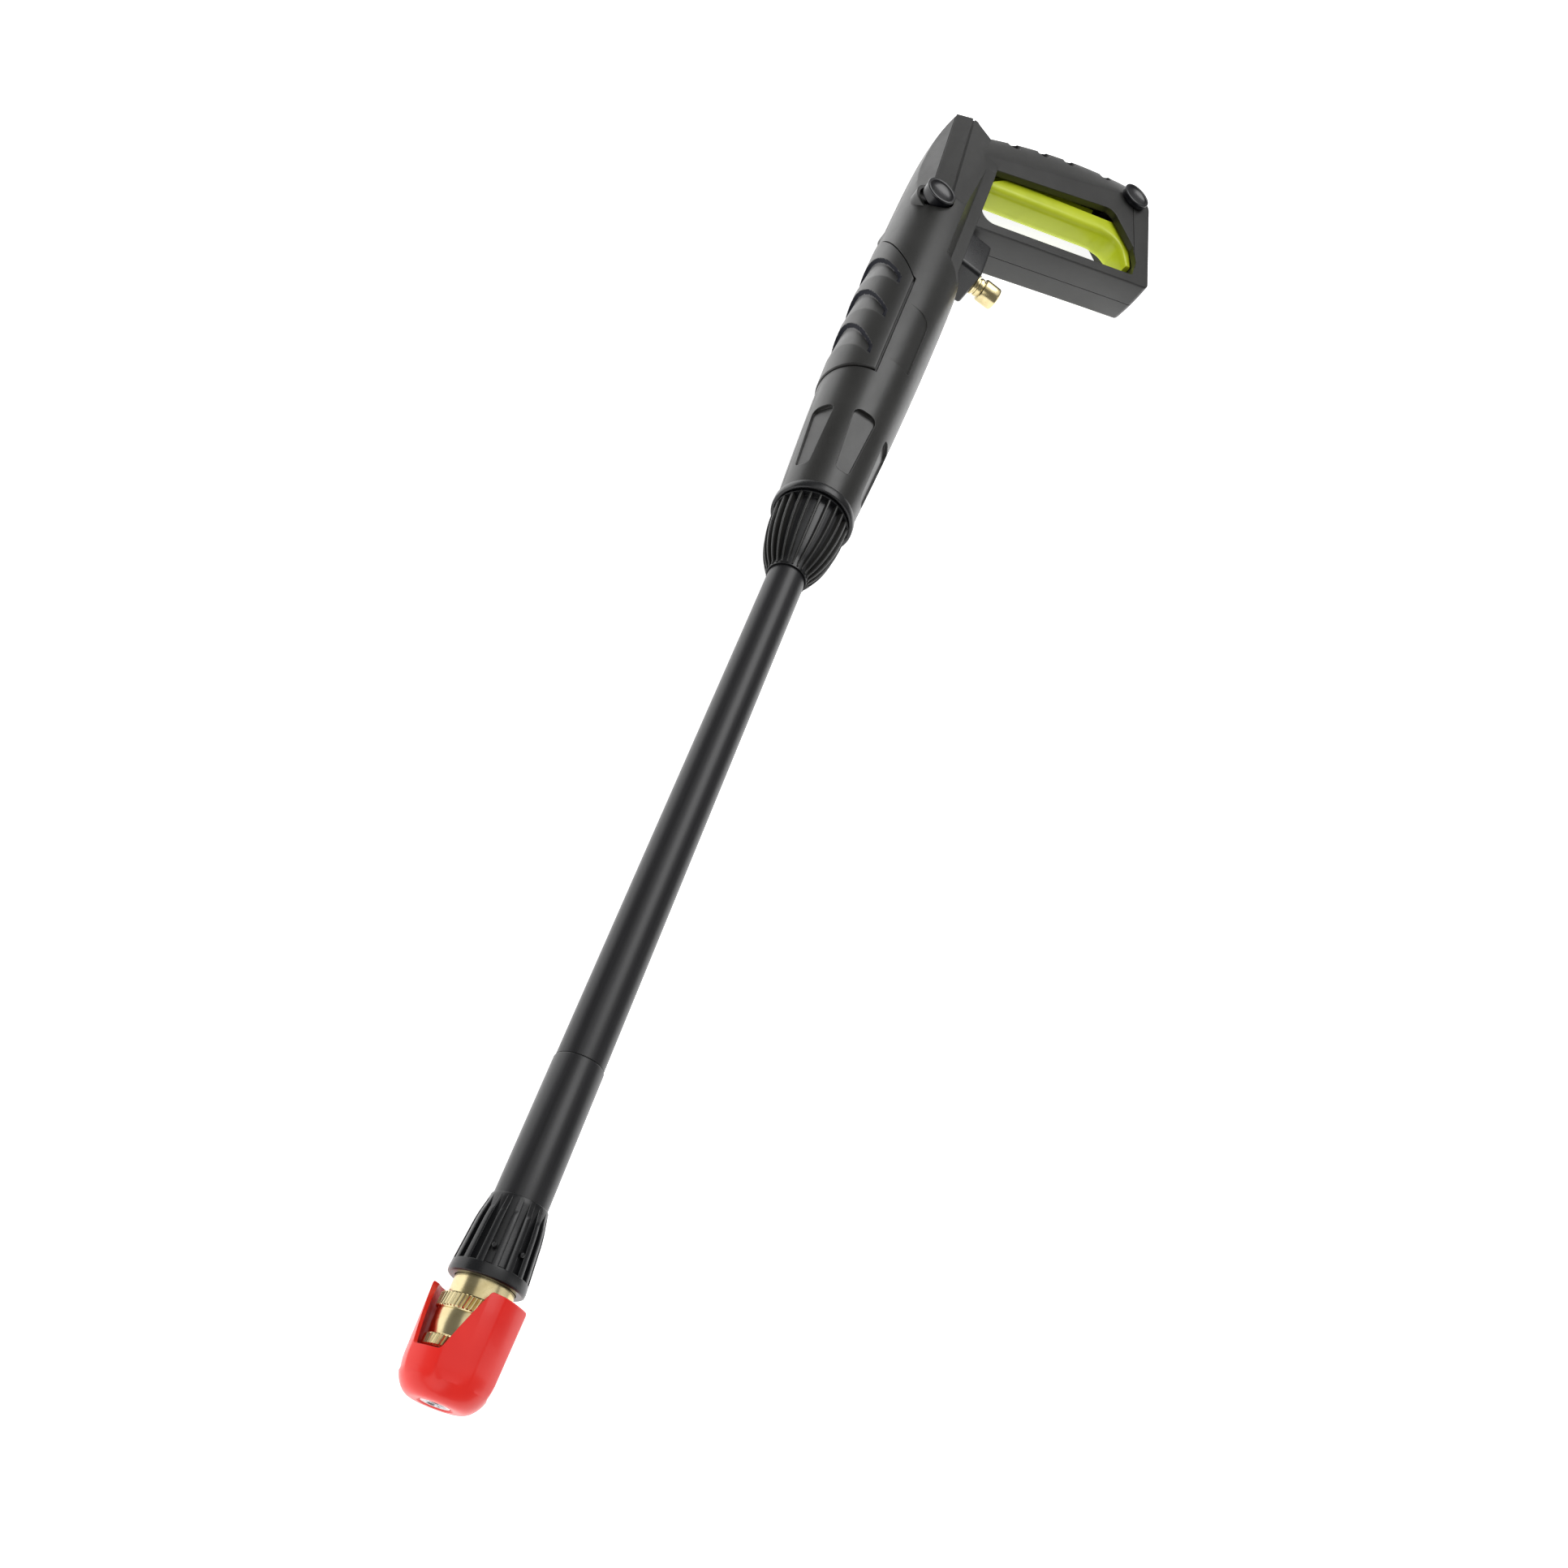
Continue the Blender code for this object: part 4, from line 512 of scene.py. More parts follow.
def loopOutline(height):
    width = casing["halfWidth"]
    crown = 2.5 * (1 - (height / width) ** 2)
    backShare = min(1.0, (width - height) / 5.0) ** 0.8
    roundOff = 7.0 * (1 - (min(height, 10.0) / 10.0) ** 2)

    def back(x):
        side = gripSideEdge(x)
        return side + (gripBack(x) - side) * backShare + roundOff

    reach = casing["reach"]
    frontTip = (footEdge(frontEdge(reach)), frontEdge(reach) - crown)
    backX = footEdge(back(reach - 15.0))
    backTip = (backX, back(backX))
    root = (2.0, frontEdge(2.0) - crown)
    outline = [(x, frontEdge(x) - crown) for x in spread(2.0, reach - 14.0, 24)]
    outline += corner(root, frontTip, backTip, 7.0)
    outline += corner(frontTip, backTip, (backX - 20.0, back(backX - 20.0)), 8.0)
    outline += [(x, back(x)) for x in spread(backX - 16.0, 2.0, 36)]
    return outline


def handleLoop():
    levels = (1.0, 0.985, 0.95, 0.92, 0.87, 0.82, 0.75, 0.667, 0.58, 0.48, 0.367, 0.24, 0.12)
    rings = []
    for share in levels + (0.0,) + tuple(-level for level in reversed(levels)):
        level = share * casing["halfWidth"]
        ring = [(x, y, level) for x, y in loopOutline(abs(level))]
        draw = {1.0: 0.7, 0.985: 0.25}.get(abs(share), 0.0)
        if draw:
            middle = Vector((80.0, 400.0, level))
            ring = [tuple(Vector(p) + (middle - Vector(p)).normalized() * draw) for p in ring]
        rings.append(ring)
    loop = loft("loop", rings)
    cheek = [(-8.0, 431.0, 9.0), (-8.0, 380.0, 17.0), (14.0, 405.0, casing["halfWidth"])]
    return cut(loop, planeBlock("cheek", cheek, 1), planeBlock("cheek", cheek, -1))


def loopWindow():
    barInner = casing["barThickness"] / math.cos(math.radians(casing["barRake"]))
    root = casing["windowRoot"]
    footX = casing["reach"] - casing["footWall"] - 1.0
    frontRoot = (root, frontEdge(root) + barInner)
    frontFoot = (footX - 1.0, frontEdge(footX) + barInner)
    foot = (footX, frontFoot[1] + 18.0)
    gussetX = footX - casing["gusset"] - 3.0
    gusset = (gussetX, casing["windowBack"] + (gussetX - root) * slope(casing["windowRake"]))
    gussetFoot = (footX - 5.0, gusset[1] - 26.0)
    gripRoot = (root, casing["windowBack"])
    outline = corner(gripRoot, frontRoot, frontFoot, 8.0) + corner(frontRoot, frontFoot, foot, 4.0)
    outline += [foot] + corner(foot, gussetFoot, gusset, 5.0) + corner(gussetFoot, gusset, gripRoot, 7.0)
    outline.append(gripRoot)
    return slab("window", outline, -34.0, 34.0)


def triggerFront(x):
    return casing["triggerRoot"] + (x - 21.0) * slope(casing["triggerRake"])


def triggerRoom():
    footX = casing["reach"] - casing["footWall"] + 1.5
    px, py = casing["pivot"]
    outline = [(6.0, py - 12.0), (casing["windowRoot"] + 4.0, py - 12.0)]
    outline += [(footX - 8.0, triggerFront(footX) - 36.0), (footX, triggerFront(footX) - 40.0)]
    outline += [(footX - 10.0, 459.0), (footX - 25.0, 476.0)]
    outline += [(100.0, gripSideEdge(100.0) + 14.0), (30.0, gripSideEdge(30.0) + 14.0), (6.0, 396.0)]
    slot = [(20.0, 380.0), (108.0, 440.0), (116.0, 470.0), (116.0, gripBack(116.0) - 9.0)]
    slot += [(x, gripBack(x) - 8.0) for x in (95.0, 70.0, 45.0, 26.0)]
    return join(slab("room", outline, -11.3, 11.3), slab("ribRoom", slot, -7.5, 7.5))


pad = {
    "front": 100.0, "sideEnd": 190.0, "topEnd": 243.0, "halfAngle": 76.0, "proud": 0.9, "depth": 1.4,
    "columns": 133, "rows": 230, "hooks": (219.0, 184.0, 149.0), "hookDepth": 2.1, "hookAngle": 62.0,
    "hookDrop": 31.0, "hookLength": 29.0, "sideLength": 9.0, "groove": 1.0,
    "wallWidth": 2.2,
}


def padEnd(angle):
    share = min(1.0, abs(angle) / math.radians(pad["halfAngle"]))
    return pad["topEnd"] - (pad["topEnd"] - pad["sideEnd"]) * share**1.3


def hookPlace(y, angle):
    # how much of its depth a finger place keeps here, and how far in from its walls the point is
    turn = abs(math.degrees(angle)) / pad["hookAngle"]
    best = (0.0, 0.0)
    for top in pad["hooks"]:
        ahead = top - pad["hookDrop"] * turn**1.7 - y
        aside = (1 - turn) * math.radians(pad["hookAngle"]) * casing["midRadius"]
        length = pad["sideLength"] + (pad["hookLength"] - pad["sideLength"]) * (1 - turn)
        if 0.0 < ahead < length and aside > 0.0:
            inside = ahead * aside / (ahead**2.5 + aside**2.5) ** 0.4
            best = max(best, (min(1.0, 1.25 * (1 - ahead / length)), inside))
    return best


def hookDepth(y, angle):
    fade, inside = hookPlace(y, angle)
    return pad["hookDepth"] * fade * min(1.0, inside / pad["wallWidth"]) ** 0.8


def paintHookShade(thing):
    # the walls of the finger places are painted a darker tone: painted shade in the recesses
    for face in thing.data.polygons:
        centre = (face.center - gunOrigin) / mm
        angle = math.atan2(centre.z, -centre.x)
        fade, inside = hookPlace(centre.y, angle)
        outside = math.hypot(centre.x, centre.z) > barrelRadius(centre.y) - 1.35
        if outside and fade > 0.25 and 0.0 < inside < pad["wallWidth"]:
            face.material_index = 1
    return thing


def padShape(name, margin, deep, proud, columns, rows):
    spare = margin / casing["midRadius"]
    half = math.radians(pad["halfAngle"]) + spare
    rings = []
    for i in range(columns):
        angle = -half + 2 * half * i / (columns - 1)
        places = spread(pad["front"] - margin, padEnd(angle) + 2 * margin, rows)
        ring = []
        for y in places:
            edge = 0.0
            if not margin:
                nearest = min(y - places[0], places[-1] - y, (half - abs(angle)) * casing["midRadius"])
                edge = 0.5 * (1 - min(1.0, nearest / 0.8)) ** 2 + hookDepth(y, angle)
            ring.append((y, barrelRadius(y) + proud - edge))
        under = places if margin else places[:: rows // 8]
        ring += [(y, barrelRadius(y) - deep) for y in reversed(under)]
        rings.append([(-r * math.cos(angle), y, r * math.sin(angle)) for y, r in ring])
    return loft(name, rings)


def stripRoom(side):
    start, end = casing["seamStart"], casing["seamEnd"]
    lowStart, lowEnd = casing["bandStart"], casing["bandEnd"]
    seam = Vector((end[0] - start[0], casing["end"] - casing["flankStart"], end[1] - start[1]))
    across = Vector((lowStart[0] - start[0], 0.0, lowStart[1] - start[1])).normalized()
    out = across.cross(seam).normalized()
    out = -out if out.z < 0 else out
    rings = []
    for y in (casing["flankStart"] - gap, casing["end"] + 10.8):
        share = (y - casing["flankStart"]) / (casing["end"] - casing["flankStart"])
        ring = []
        for first, last, edge in ((start, end, -gap), (lowStart, lowEnd, gap * 4)):
            x = first[0] + (last[0] - first[0]) * share
            z = first[1] + (last[1] - first[1]) * share
            ring += [Vector((x, y, z)) + across * edge + out * lift for lift in (-1.5, 8.0)]
        rings.append([(p.x, p.y, side * p.z) for p in (ring[0], ring[1], ring[3], ring[2])])
    return loft("stripRoom", rings)


neckPocket = {
    "front": 18.0, "rear": 66.0, "frontWidth": 8.0, "rearWidth": 13.6, "count": 6, "firstTurn": 92.0,
    "floor": 20.6, "rise": 1.5, "reach": 9.0, "flare": 0.22,
}


def pocketTool(turn):
    # flat floor that rises to the rear, in a frame turned about the barrel's axis
    front, rear = neckPocket["front"], neckPocket["rear"]
    a, b = neckPocket["frontWidth"] / 2, neckPocket["rearWidth"] / 2
    outline = roundedOutline([(-a, front), (a, front), (b, rear), (-b, rear)], [3.0, 3.0, 4.0, 4.0])
    out, side = radial(turn)
    rings = []
    for lift in (0.0, 1.0):
        flare = 1.0 + neckPocket["flare"] * lift
        ring = []
        for u, y in outline:
            floor = neckPocket["floor"] + neckPocket["rise"] * ((y - front) / (rear - front))
            level = floor + lift * neckPocket["reach"]
            ring.append(tuple(out * level + side * u * flare + Vector((0.0, y, 0.0))))
        rings.append(ring)
    return loft("pocket", rings)


label = {"low": -3.0, "high": 13.0, "front": 115.0, "rear": 168.0, "round": 7.0, "depth": 0.55}


def labelTool(side):
    # shallow plain panel that follows the barrel: nothing deep at its upper edge, a step at its lower one
    rings = []
    for x in spread(label["low"], label["high"], 25):
        over = max(0.0, x - (label["high"] - label["round"]))
        drop = label["round"] - math.sqrt(max(label["round"] ** 2 - over**2, 0.2))
        depth = label["depth"] * (x - label["low"]) / (label["high"] - label["low"]) + 0.02
        places = spread(label["front"] + drop * 0.4, label["rear"] - drop, 20)
        ring = [(x, y, side * (math.sqrt(barrelRadius(y) ** 2 - x**2) - depth)) for y in places]
        ring += [(x, y, side * 40.0) for y in (places[-1], places[0])]
        rings.append(ring)
    return loft("label", rings)


notch = {
    "places": (27.0, 50.0, 71.5, 103.5), "radius": 5.0, "ahead": 2.6,
    "scoop": ((6.0, 0.1), (6.4, 0.45), (7.6, 0.78), (9.5, 0.96), (12.0, 1.0), (20.0, 1.2)),
}
footGroove = {"first": (143.4, 398.3), "last": (128.6, 480.5), "half": 0.35, "floor": 15.5, "top": 17.0}


def notchTool(x, end):
    # a scoop that opens to the side and the back of the grip
    profile = [(end * level, notch["radius"] * share) for level, share in notch["scoop"]]
    return turned("notch", profile, "Z", (x, gripBack(x) - notch["ahead"]), 40)


def casingDetails():
    count, turn = neckPocket["count"], neckPocket["firstTurn"]
    tools = [pocketTool(math.radians(turn + 360.0 / count * i)) for i in range(count)]
    tools += [labelTool(1), labelTool(-1)]
    tools += [notchTool(x, end) for x in notch["places"] for end in (1, -1)]
    along = Vector((129.5 - 143.0, 475.6 - 400.5)).normalized()
    across = Vector((along.y, -along.x)) * footGroove["half"]
    first, last = Vector(footGroove["first"]), Vector(footGroove["last"])
    groove = [tuple(first - across), tuple(first + across), tuple(last + across), tuple(last - across)]
    tools += [slab("groove", groove, end * footGroove["floor"], end * footGroove["top"]) for end in (1, -1)]
    return together(tools)


def screwTop(x, y):
    if x > casing["keel"]:
        return casing["halfWidth"]
    reach = math.sqrt(barrelRadius(y) ** 2 - x**2)
    if y < casing["flankStart"]:
        return reach
    share = (y - casing["flankStart"]) / (casing["end"] - casing["flankStart"])
    return min(reach, 28.0 - 18.0 * share)


def bothSides(name, size, at, segments=64):
    # a boss or hole on each side of the middle plane
    low, high, radius = size
    return together([rod(name, end * low, end * high, radius, at, segments) for end in (1, -1)])


def throughHole(name, at):
    reach, radius = holes[name]
    return rod(name, -reach, reach, radius, at, 32)


def wholeCasing():
    lockAt = casing["lock"]
    shell = cut(barrelForm(), *keelTools(0.0))
    join(shell, handleLoop())
    cut(shell, barrelHollow())
    join(shell, bothSides("boss", lockBoss, lockAt))
    cut(shell, loopWindow(), triggerRoom(), box("blockRoom", *inletRoom))
    cut(shell, bothSides("buttonRoom", buttonRoom, lockAt), throughHole("lockShaft", lockAt))
    cut(shell, padShape("padRoom", pad["groove"], pad["depth"] + gap + 0.1, pad["proud"] + 1.2, 40, 40))
    cut(shell, together([stripRoom(1), stripRoom(-1)]), casingDetails())
    join(shell, bothSides("pinBoss", pinBoss, casing["pivot"], 32))
    cut(shell, together([throughHole("pin", casing["pivot"]), throughHole("footBolt", casing["footCap"])]))
    return shell


def screwRoom(x, y):
    depth, radius = holes["screw"]
    return rod("screwRoom", -screwTop(x, y) - holes["reach"], depth - screwTop(x, y), radius, (x, y), 32)


shell = wholeCasing()
for side, name in ((1, "leftCasing"), (-1, "rightCasing")):
    half = added(name, shell.data.copy())
    half.data.name = name
    low = -60.0 if side > 0 else -casing["seamGap"] / 2
    high = casing["seamGap"] / 2 if side > 0 else 60.0
    cut(half, box("half", (-60.0, -20.0, low), (200.0, 560.0, high)))
    if side < 0:
        cut(half, together([screwRoom(x, y) for x, y in screwPlaces]))
    softShade(half.data, 30.0)
    weigh = half.modifiers.new("EvenShading", "WEIGHTED_NORMAL")
    weigh.keep_sharp = True
    applied(half)
    finished(half, charcoal, "gun", "left_shell" if side > 0 else "right_shell")
bpy.data.objects.remove(shell, do_unlink=True)
padSurface = padShape("foregripPadSurface", 0.0, pad["depth"], pad["proud"], pad["columns"], pad["rows"])
finished(padSurface, padPlastic, "gun", "foregrip_pad")
# the walls of the finger places take the painted shade
padSurface.data.materials.append(hookShade)
paintHookShade(padSurface)
print("casing built")


def makeTree(name, sockets):
    # an empty geometry tree with named inputs, its input node and its output node
    tree = bpy.data.node_groups.new(name, "GeometryNodeTree")
    tree.interface.new_socket("Geometry", in_out="OUTPUT", socket_type="NodeSocketGeometry")
    tree.interface.new_socket("Geometry", in_out="INPUT", socket_type="NodeSocketGeometry")
    for label, kind in sockets:
        tree.interface.new_socket(label, in_out="INPUT", socket_type="NodeSocket" + kind)
    start = tree.nodes.new("NodeGroupInput")
    inputs = {socket.name: Wire(tree, socket) for socket in start.outputs if socket.name}
    return tree, inputs


def endTree(tree, geometry, material):
    real = addNode(tree, "GeometryNodeRealizeInstances", None, {"Geometry": geometry})
    painted = addNode(tree, "GeometryNodeSetMaterial", None, {"Geometry": real, "Material": material})
    end = tree.nodes.new("NodeGroupOutput")
    tree.links.new(painted.socket, end.inputs["Geometry"])


def ringTree():
    # copies of a part round an axis along Y
    kinds = (("Count", "Int"), ("Centre", "Vector"), ("Material", "Material"))
    tree, inputs = makeTree("copiesRoundAxis", kinds)
    count = inputs["Count"]
    line = addNode(tree, "GeometryNodeMeshLine", {"mode": "OFFSET"}, {"Count": count, "Offset": (0.0, 0.0, 0.0)})
    points = addNode(tree, "GeometryNodeSetPosition", None, {"Geometry": line, "Position": inputs["Centre"]})
    turn = addNode(tree, "GeometryNodeInputIndex") * math.tau / count
    euler = addNode(tree, "ShaderNodeCombineXYZ", None, {"Y": turn})
    rotation = addNode(tree, "FunctionNodeEulerToRotation", None, {"Euler": euler})
    values = {"Points": points, "Instance": inputs["Geometry"], "Rotation": rotation}
    endTree(tree, addNode(tree, "GeometryNodeInstanceOnPoints", None, values), inputs["Material"])
    return tree


def placesTree():
    # copies of another object's mesh on the points of this one
    tree, inputs = makeTree("copiesOnPlaces", (("Part", "Object"), ("Size", "Float"), ("Material", "Material")))
    part = addNode(tree, "GeometryNodeObjectInfo", None, {"Object": inputs["Part"]}, "Geometry")
    values = {"Points": inputs["Geometry"], "Instance": part, "Scale": inputs["Size"]}
    endTree(tree, addNode(tree, "GeometryNodeInstanceOnPoints", None, values), inputs["Material"])
    return tree


def grown(thing, tree, values):
    # runs a tree on an object and keeps the result as its plain mesh
    step = thing.modifiers.new(tree.name, "NODES")
    step.node_group = tree
    sockets = {s.name: s.identifier for s in tree.interface.items_tree if s.in_out == "INPUT"}
    for label, value in values.items():
        step[sockets[label]] = value
    return applied(thing)


copiesRoundAxis = ringTree()
copiesOnPlaces = placesTree()


def ringOf(name, rings, count, material, sharpAngle=32.0):
    # the part is drawn at its first place, and moved to the origin before it is copied round
    part = loft(name, rings, False, sharpAngle)
    part.data.transform(Matrix.Translation(-gunOrigin))
    grown(part, copiesRoundAxis, {"Count": count, "Centre": gunOrigin, "Material": material})
    softShade(part.data, sharpAngle)
    return part


collar = {
    "rear": -0.4, "front": -47.0, "radius": 19.8, "ribDepth": 2.7, "ribs": 24, "ribWidth": 1.7, "topWidth": 1.2,
    "bore": 9.8,
}


def collarRadius(y):
    share = max(0.0, (collar["rear"] - 2.5 - y) / (collar["rear"] - collar["front"] + 3.0))
    return collar["radius"] * (1 - share**2.2) ** 0.5


def twistCollar():
    rear, front, radius, deep = collar["rear"], collar["front"], collar["radius"], collar["ribDepth"]
    profile = [(rear, collar["bore"]), (rear, radius - 1.5), (rear - 0.4, radius - 0.5)]
    profile += [(rear - 1.2, radius), (rear - 2.6, radius), (rear - 3.0, radius - deep)]
    profile += [(y, max(collarRadius(y) - deep, 10.4)) for y in spread(rear - 3.4, front + 1.5, 26)]
    profile += [(front, 10.4), (front, collar["bore"])]
    return turned("twistCollar", profile, segments=96, bored=True)


def collarFins():
    # one fin: a tapering ridge that follows the dome, thinner at its crest
    rings = []
    for y in spread(collar["rear"] - 2.0, collar["front"] + 1.0, 30):
        outer = max(collarRadius(y), 10.9)
        inner = outer - collar["ribDepth"] - 0.6
        shrink = 0.7 + 0.3 * (outer - 10.0) / 9.8
        root, crest = collar["ribWidth"] / 2 * shrink, collar["topWidth"] / 2 * shrink
        rings.append([(inner, y, -root), (outer - 0.25, y, -crest), (outer, y, -crest * 0.6),
                      (outer, y, crest * 0.6), (outer - 0.25, y, crest), (inner, y, root)])
    return ringOf("collarFins", rings, collar["ribs"], charcoal)


lipProfile = (
    (-1.6, 20.3), (-1.6, 21.2), (-1.3, 21.7), (-0.8, 21.9), (2.8, 21.9), (3.3, 21.7), (3.7, 21.1),
    (3.7, 16.0), (1.0, 16.0), (1.0, 20.3),
)
finished(turned("frontLipRing", lipProfile, segments=96, bored=True), satinBlack, "gun", "front_lip_ring")
# the fins take the lighter charcoal and the collar between them the darker satin black: a painted lighter tone on
# the fin crests and painted shade in the slots between them
finished(twistCollar(), satinBlack, "lance", "lance_collar")
finished(collarFins(), charcoal, "lance")

lance = {
    "radius": 9.5, "bore": 7.6, "step": 8.9, "rear": -12.0, "sleeveRear": -316.4, "front": -380.0,
    "sleeveRadius": 9.85, "sleeveBore": 9.2,
}
lanceFront, sleeveRear = lance["front"], lance["sleeveRear"]
tubeProfile = [(lanceFront, lance["bore"]), (lanceFront, lance["step"]), (sleeveRear + gap, lance["step"])]
tubeProfile += [(y, lance["radius"]) for y in spread(sleeveRear + gap, lance["rear"], 12)]
tubeProfile.append((lance["rear"], lance["bore"]))
finished(turned("lanceTube", tubeProfile, segments=96, bored=True), lanceCoat, "lance", "lance_tube")
coverProfile = [(lanceFront, lance["sleeveBore"]), (lanceFront, lance["sleeveRadius"])]
coverProfile += [(sleeveRear - 0.5, lance["sleeveRadius"]), (sleeveRear, lance["sleeveRadius"] - 0.25)]
coverProfile.append((sleeveRear, lance["sleeveBore"]))
finished(turned("lanceSleeve", coverProfile, segments=96, bored=True), lanceCoat, "lance", "lance_sleeve")

cone = {
    "rear": -370.0, "front": -398.0, "rearRadius": 11.0, "shoulder": 6.0, "shoulderRadius": 11.9,
    "frontRadius": 13.7, "ribs": 16, "ribDepth": 1.7, "rim": 4.0, "rise": 11.0, "ribShare": 0.5, "ribTurn": 0.625,
}


def coneRadius(y):
    shoulder, middle = cone["rear"] - cone["shoulder"], cone["shoulderRadius"]
    if y > shoulder:
        return cone["rearRadius"] + (middle - cone["rearRadius"]) * (cone["rear"] - y) / cone["shoulder"]
    return middle + (cone["frontRadius"] - middle) * ((y - shoulder) / (cone["front"] - shoulder))


def ribCrest(y):
    # the ribs rise out of the lance in a quarter curve, then follow the cone
    share = min(1.0, (cone["rear"] - y) / cone["rise"])
    return 10.4 + (coneRadius(y) - 10.4) * math.sin(share * math.pi / 2) ** 0.8


def nozzleCone():
    rear, front, deep = cone["rear"], cone["front"], cone["ribDepth"]
    rim = front + cone["rim"]
    profile = [(rear, 10.15), (rear, 10.35), (rear - 0.3, 10.5)]
    profile += [(y, max(10.55, coneRadius(y) - deep)) for y in spread(rear - 2.0, rim + 0.6, 10)]
    profile += [(rim + 0.3, coneRadius(rim) - 0.3), (rim, coneRadius(rim))]
    profile += [(front + 1.4, coneRadius(front + 1.4)), (front + 0.4, coneRadius(front) - 0.3)]
    profile += [(front, coneRadius(front) - 0.9), (front, 10.75), (-390.7, 10.75), (-390.7, 10.15)]
    return turned("nozzleCone", profile, segments=96, bored=True)


def coneRibs():
    width = math.tau / cone["ribs"] * cone["ribShare"] / 2
    rings = []
    for y in spread(cone["rear"] - 0.3, cone["front"] + cone["rim"] - 0.2, 16):
        outer = ribCrest(y)
        inner = max(10.3, coneRadius(y) - cone["ribDepth"] - 0.4)
        ring = []
        for radius, turn in ((inner, -width), (outer - 0.15, -width), (outer, -width * 0.75),
                             (outer, width * 0.75), (outer - 0.15, width), (inner, width)):
            angle = turn + math.tau * cone["ribTurn"] / cone["ribs"]
            ring.append((max(radius, inner) * math.cos(angle), y, max(radius, inner) * math.sin(angle)))
        rings.append(ring)
    return ringOf("coneRibs", rings, cone["ribs"], satinBlack)


finished(nozzleCone(), satinBlack, "lance", "nozzle_cone")
finished(coneRibs(), satinBlack, "lance")
print("lance built")

coupler = {
    "ballY": -413.5, "ballHole": 2.32, "balls": 4,
    "teeth": 56, "slant": 0.9, "toothHeight": 0.5, "toothCrest": 0.25,
}
bodyProfile = (
    (-391.0, 2.5), (-391.0, 10.45), (-404.2, 10.45), (-404.6, 10.1), (-404.6, 8.3), (-420.1, 8.3), (-420.1, 7.5),
    (-421.9, 7.5), (-421.9, 8.1), (-422.2, 7.8), (-422.2, 5.3), (-403.6, 5.3), (-403.6, 6.6), (-401.6, 6.6),
    (-401.6, 5.3), (-399.5, 5.3), (-399.5, 2.5),
)


def couplerBody():
    body = turned("couplerBody", bodyProfile, segments=80, bored=True)
    radius = coupler["ballHole"]
    tools = []
    for i in range(coupler["balls"]):
        out, side = radial(math.tau * (i + 0.5) / coupler["balls"])
        ring = []
        for j in range(28):
            spin = math.tau * j / 28
            along = Vector((0.0, coupler["ballY"] + radius * math.sin(spin), 0.0))
            ring.append((side * radius * math.cos(spin), along))
        rings = [[tuple(out * reach + aside + along) for aside, along in ring] for reach in (2.0, 10.3)]
        tools.append(loft("ballHole", rings))
    cut(body, *tools)
    softShade(body.data)
    return body


def knurlTeeth(name, start, length, radius):
    # one slanted ridge of the knurl, copied round the ring
    half = math.pi / coupler["teeth"] * radius
    crest, low = half * coupler["toothCrest"], radius - 0.6
    rings = []
    for along, lift in ((0.0, 0.0), (0.35, 1.0), (length - 0.35, 1.0), (length, 0.0)):
        drift = coupler["slant"] * (along / length - 0.5)
        y, high = start - along, low + 0.05 + lift * coupler["toothHeight"]
        rings.append([(low, y, drift - half), (low, y, drift + half)])
        rings[-1] += [(high, y, drift + crest), (high, y, drift - crest)]
    return ringOf(name, rings, coupler["teeth"], brass, 20.0)


sleeveProfile = (
    (-404.3, 10.8), (-404.3, 11.5), (-404.6, 11.8), (-408.8, 11.8), (-409.3, 11.5), (-409.4, 11.25),
    (-410.2, 11.45), (-414.0, 11.5), (-416.7, 11.1), (-417.2, 11.0), (-417.3, 11.3), (-417.6, 11.5),
    (-420.9, 11.5), (-421.3, 11.2), (-421.3, 10.7), (-413.0, 8.6), (-411.9, 8.6), (-411.9, 10.8),
)
finished(couplerBody(), brass, "lance", "coupler_body")
finished(turned("couplerSleeve", sleeveProfile, segments=96, bored=True), brass, "release_sleeve", "coupler_sleeve")
finished(knurlTeeth("rearKnurl", -404.5, 4.5, 12.35), brass, "release_sleeve")
finished(knurlTeeth("frontKnurl", -417.5, 3.6, 12.05), brass, "release_sleeve")

guard = {
    "tip": -435.6, "floor": -423.0, "rear": -402.0, "radius": 16.6, "frontRadius": 15.8, "wall": 2.4, "hole": 5.5,
    "windowTurn": 54.0, "facets": 8, "facetShare": 0.45, "tipLength": 12.0, "tipFlat": 8.0, "room": 7.6,
    "roomFront": -433.0,
}


def guardFacets(angle, along, radius):
    # eight soft flats on the outer skin, none near the tip and the bore
    if radius < guard["radius"] - guard["wall"] + 0.5:
        return 1.0
    step = math.tau / guard["facets"]
    turn = (angle - math.radians(guard["windowTurn"]) - math.pi / 2 + step / 2) % step - step / 2
    flat = math.cos(step / 2) / math.cos(turn)
    return 1.0 + (flat - 1.0) * guard["facetShare"]


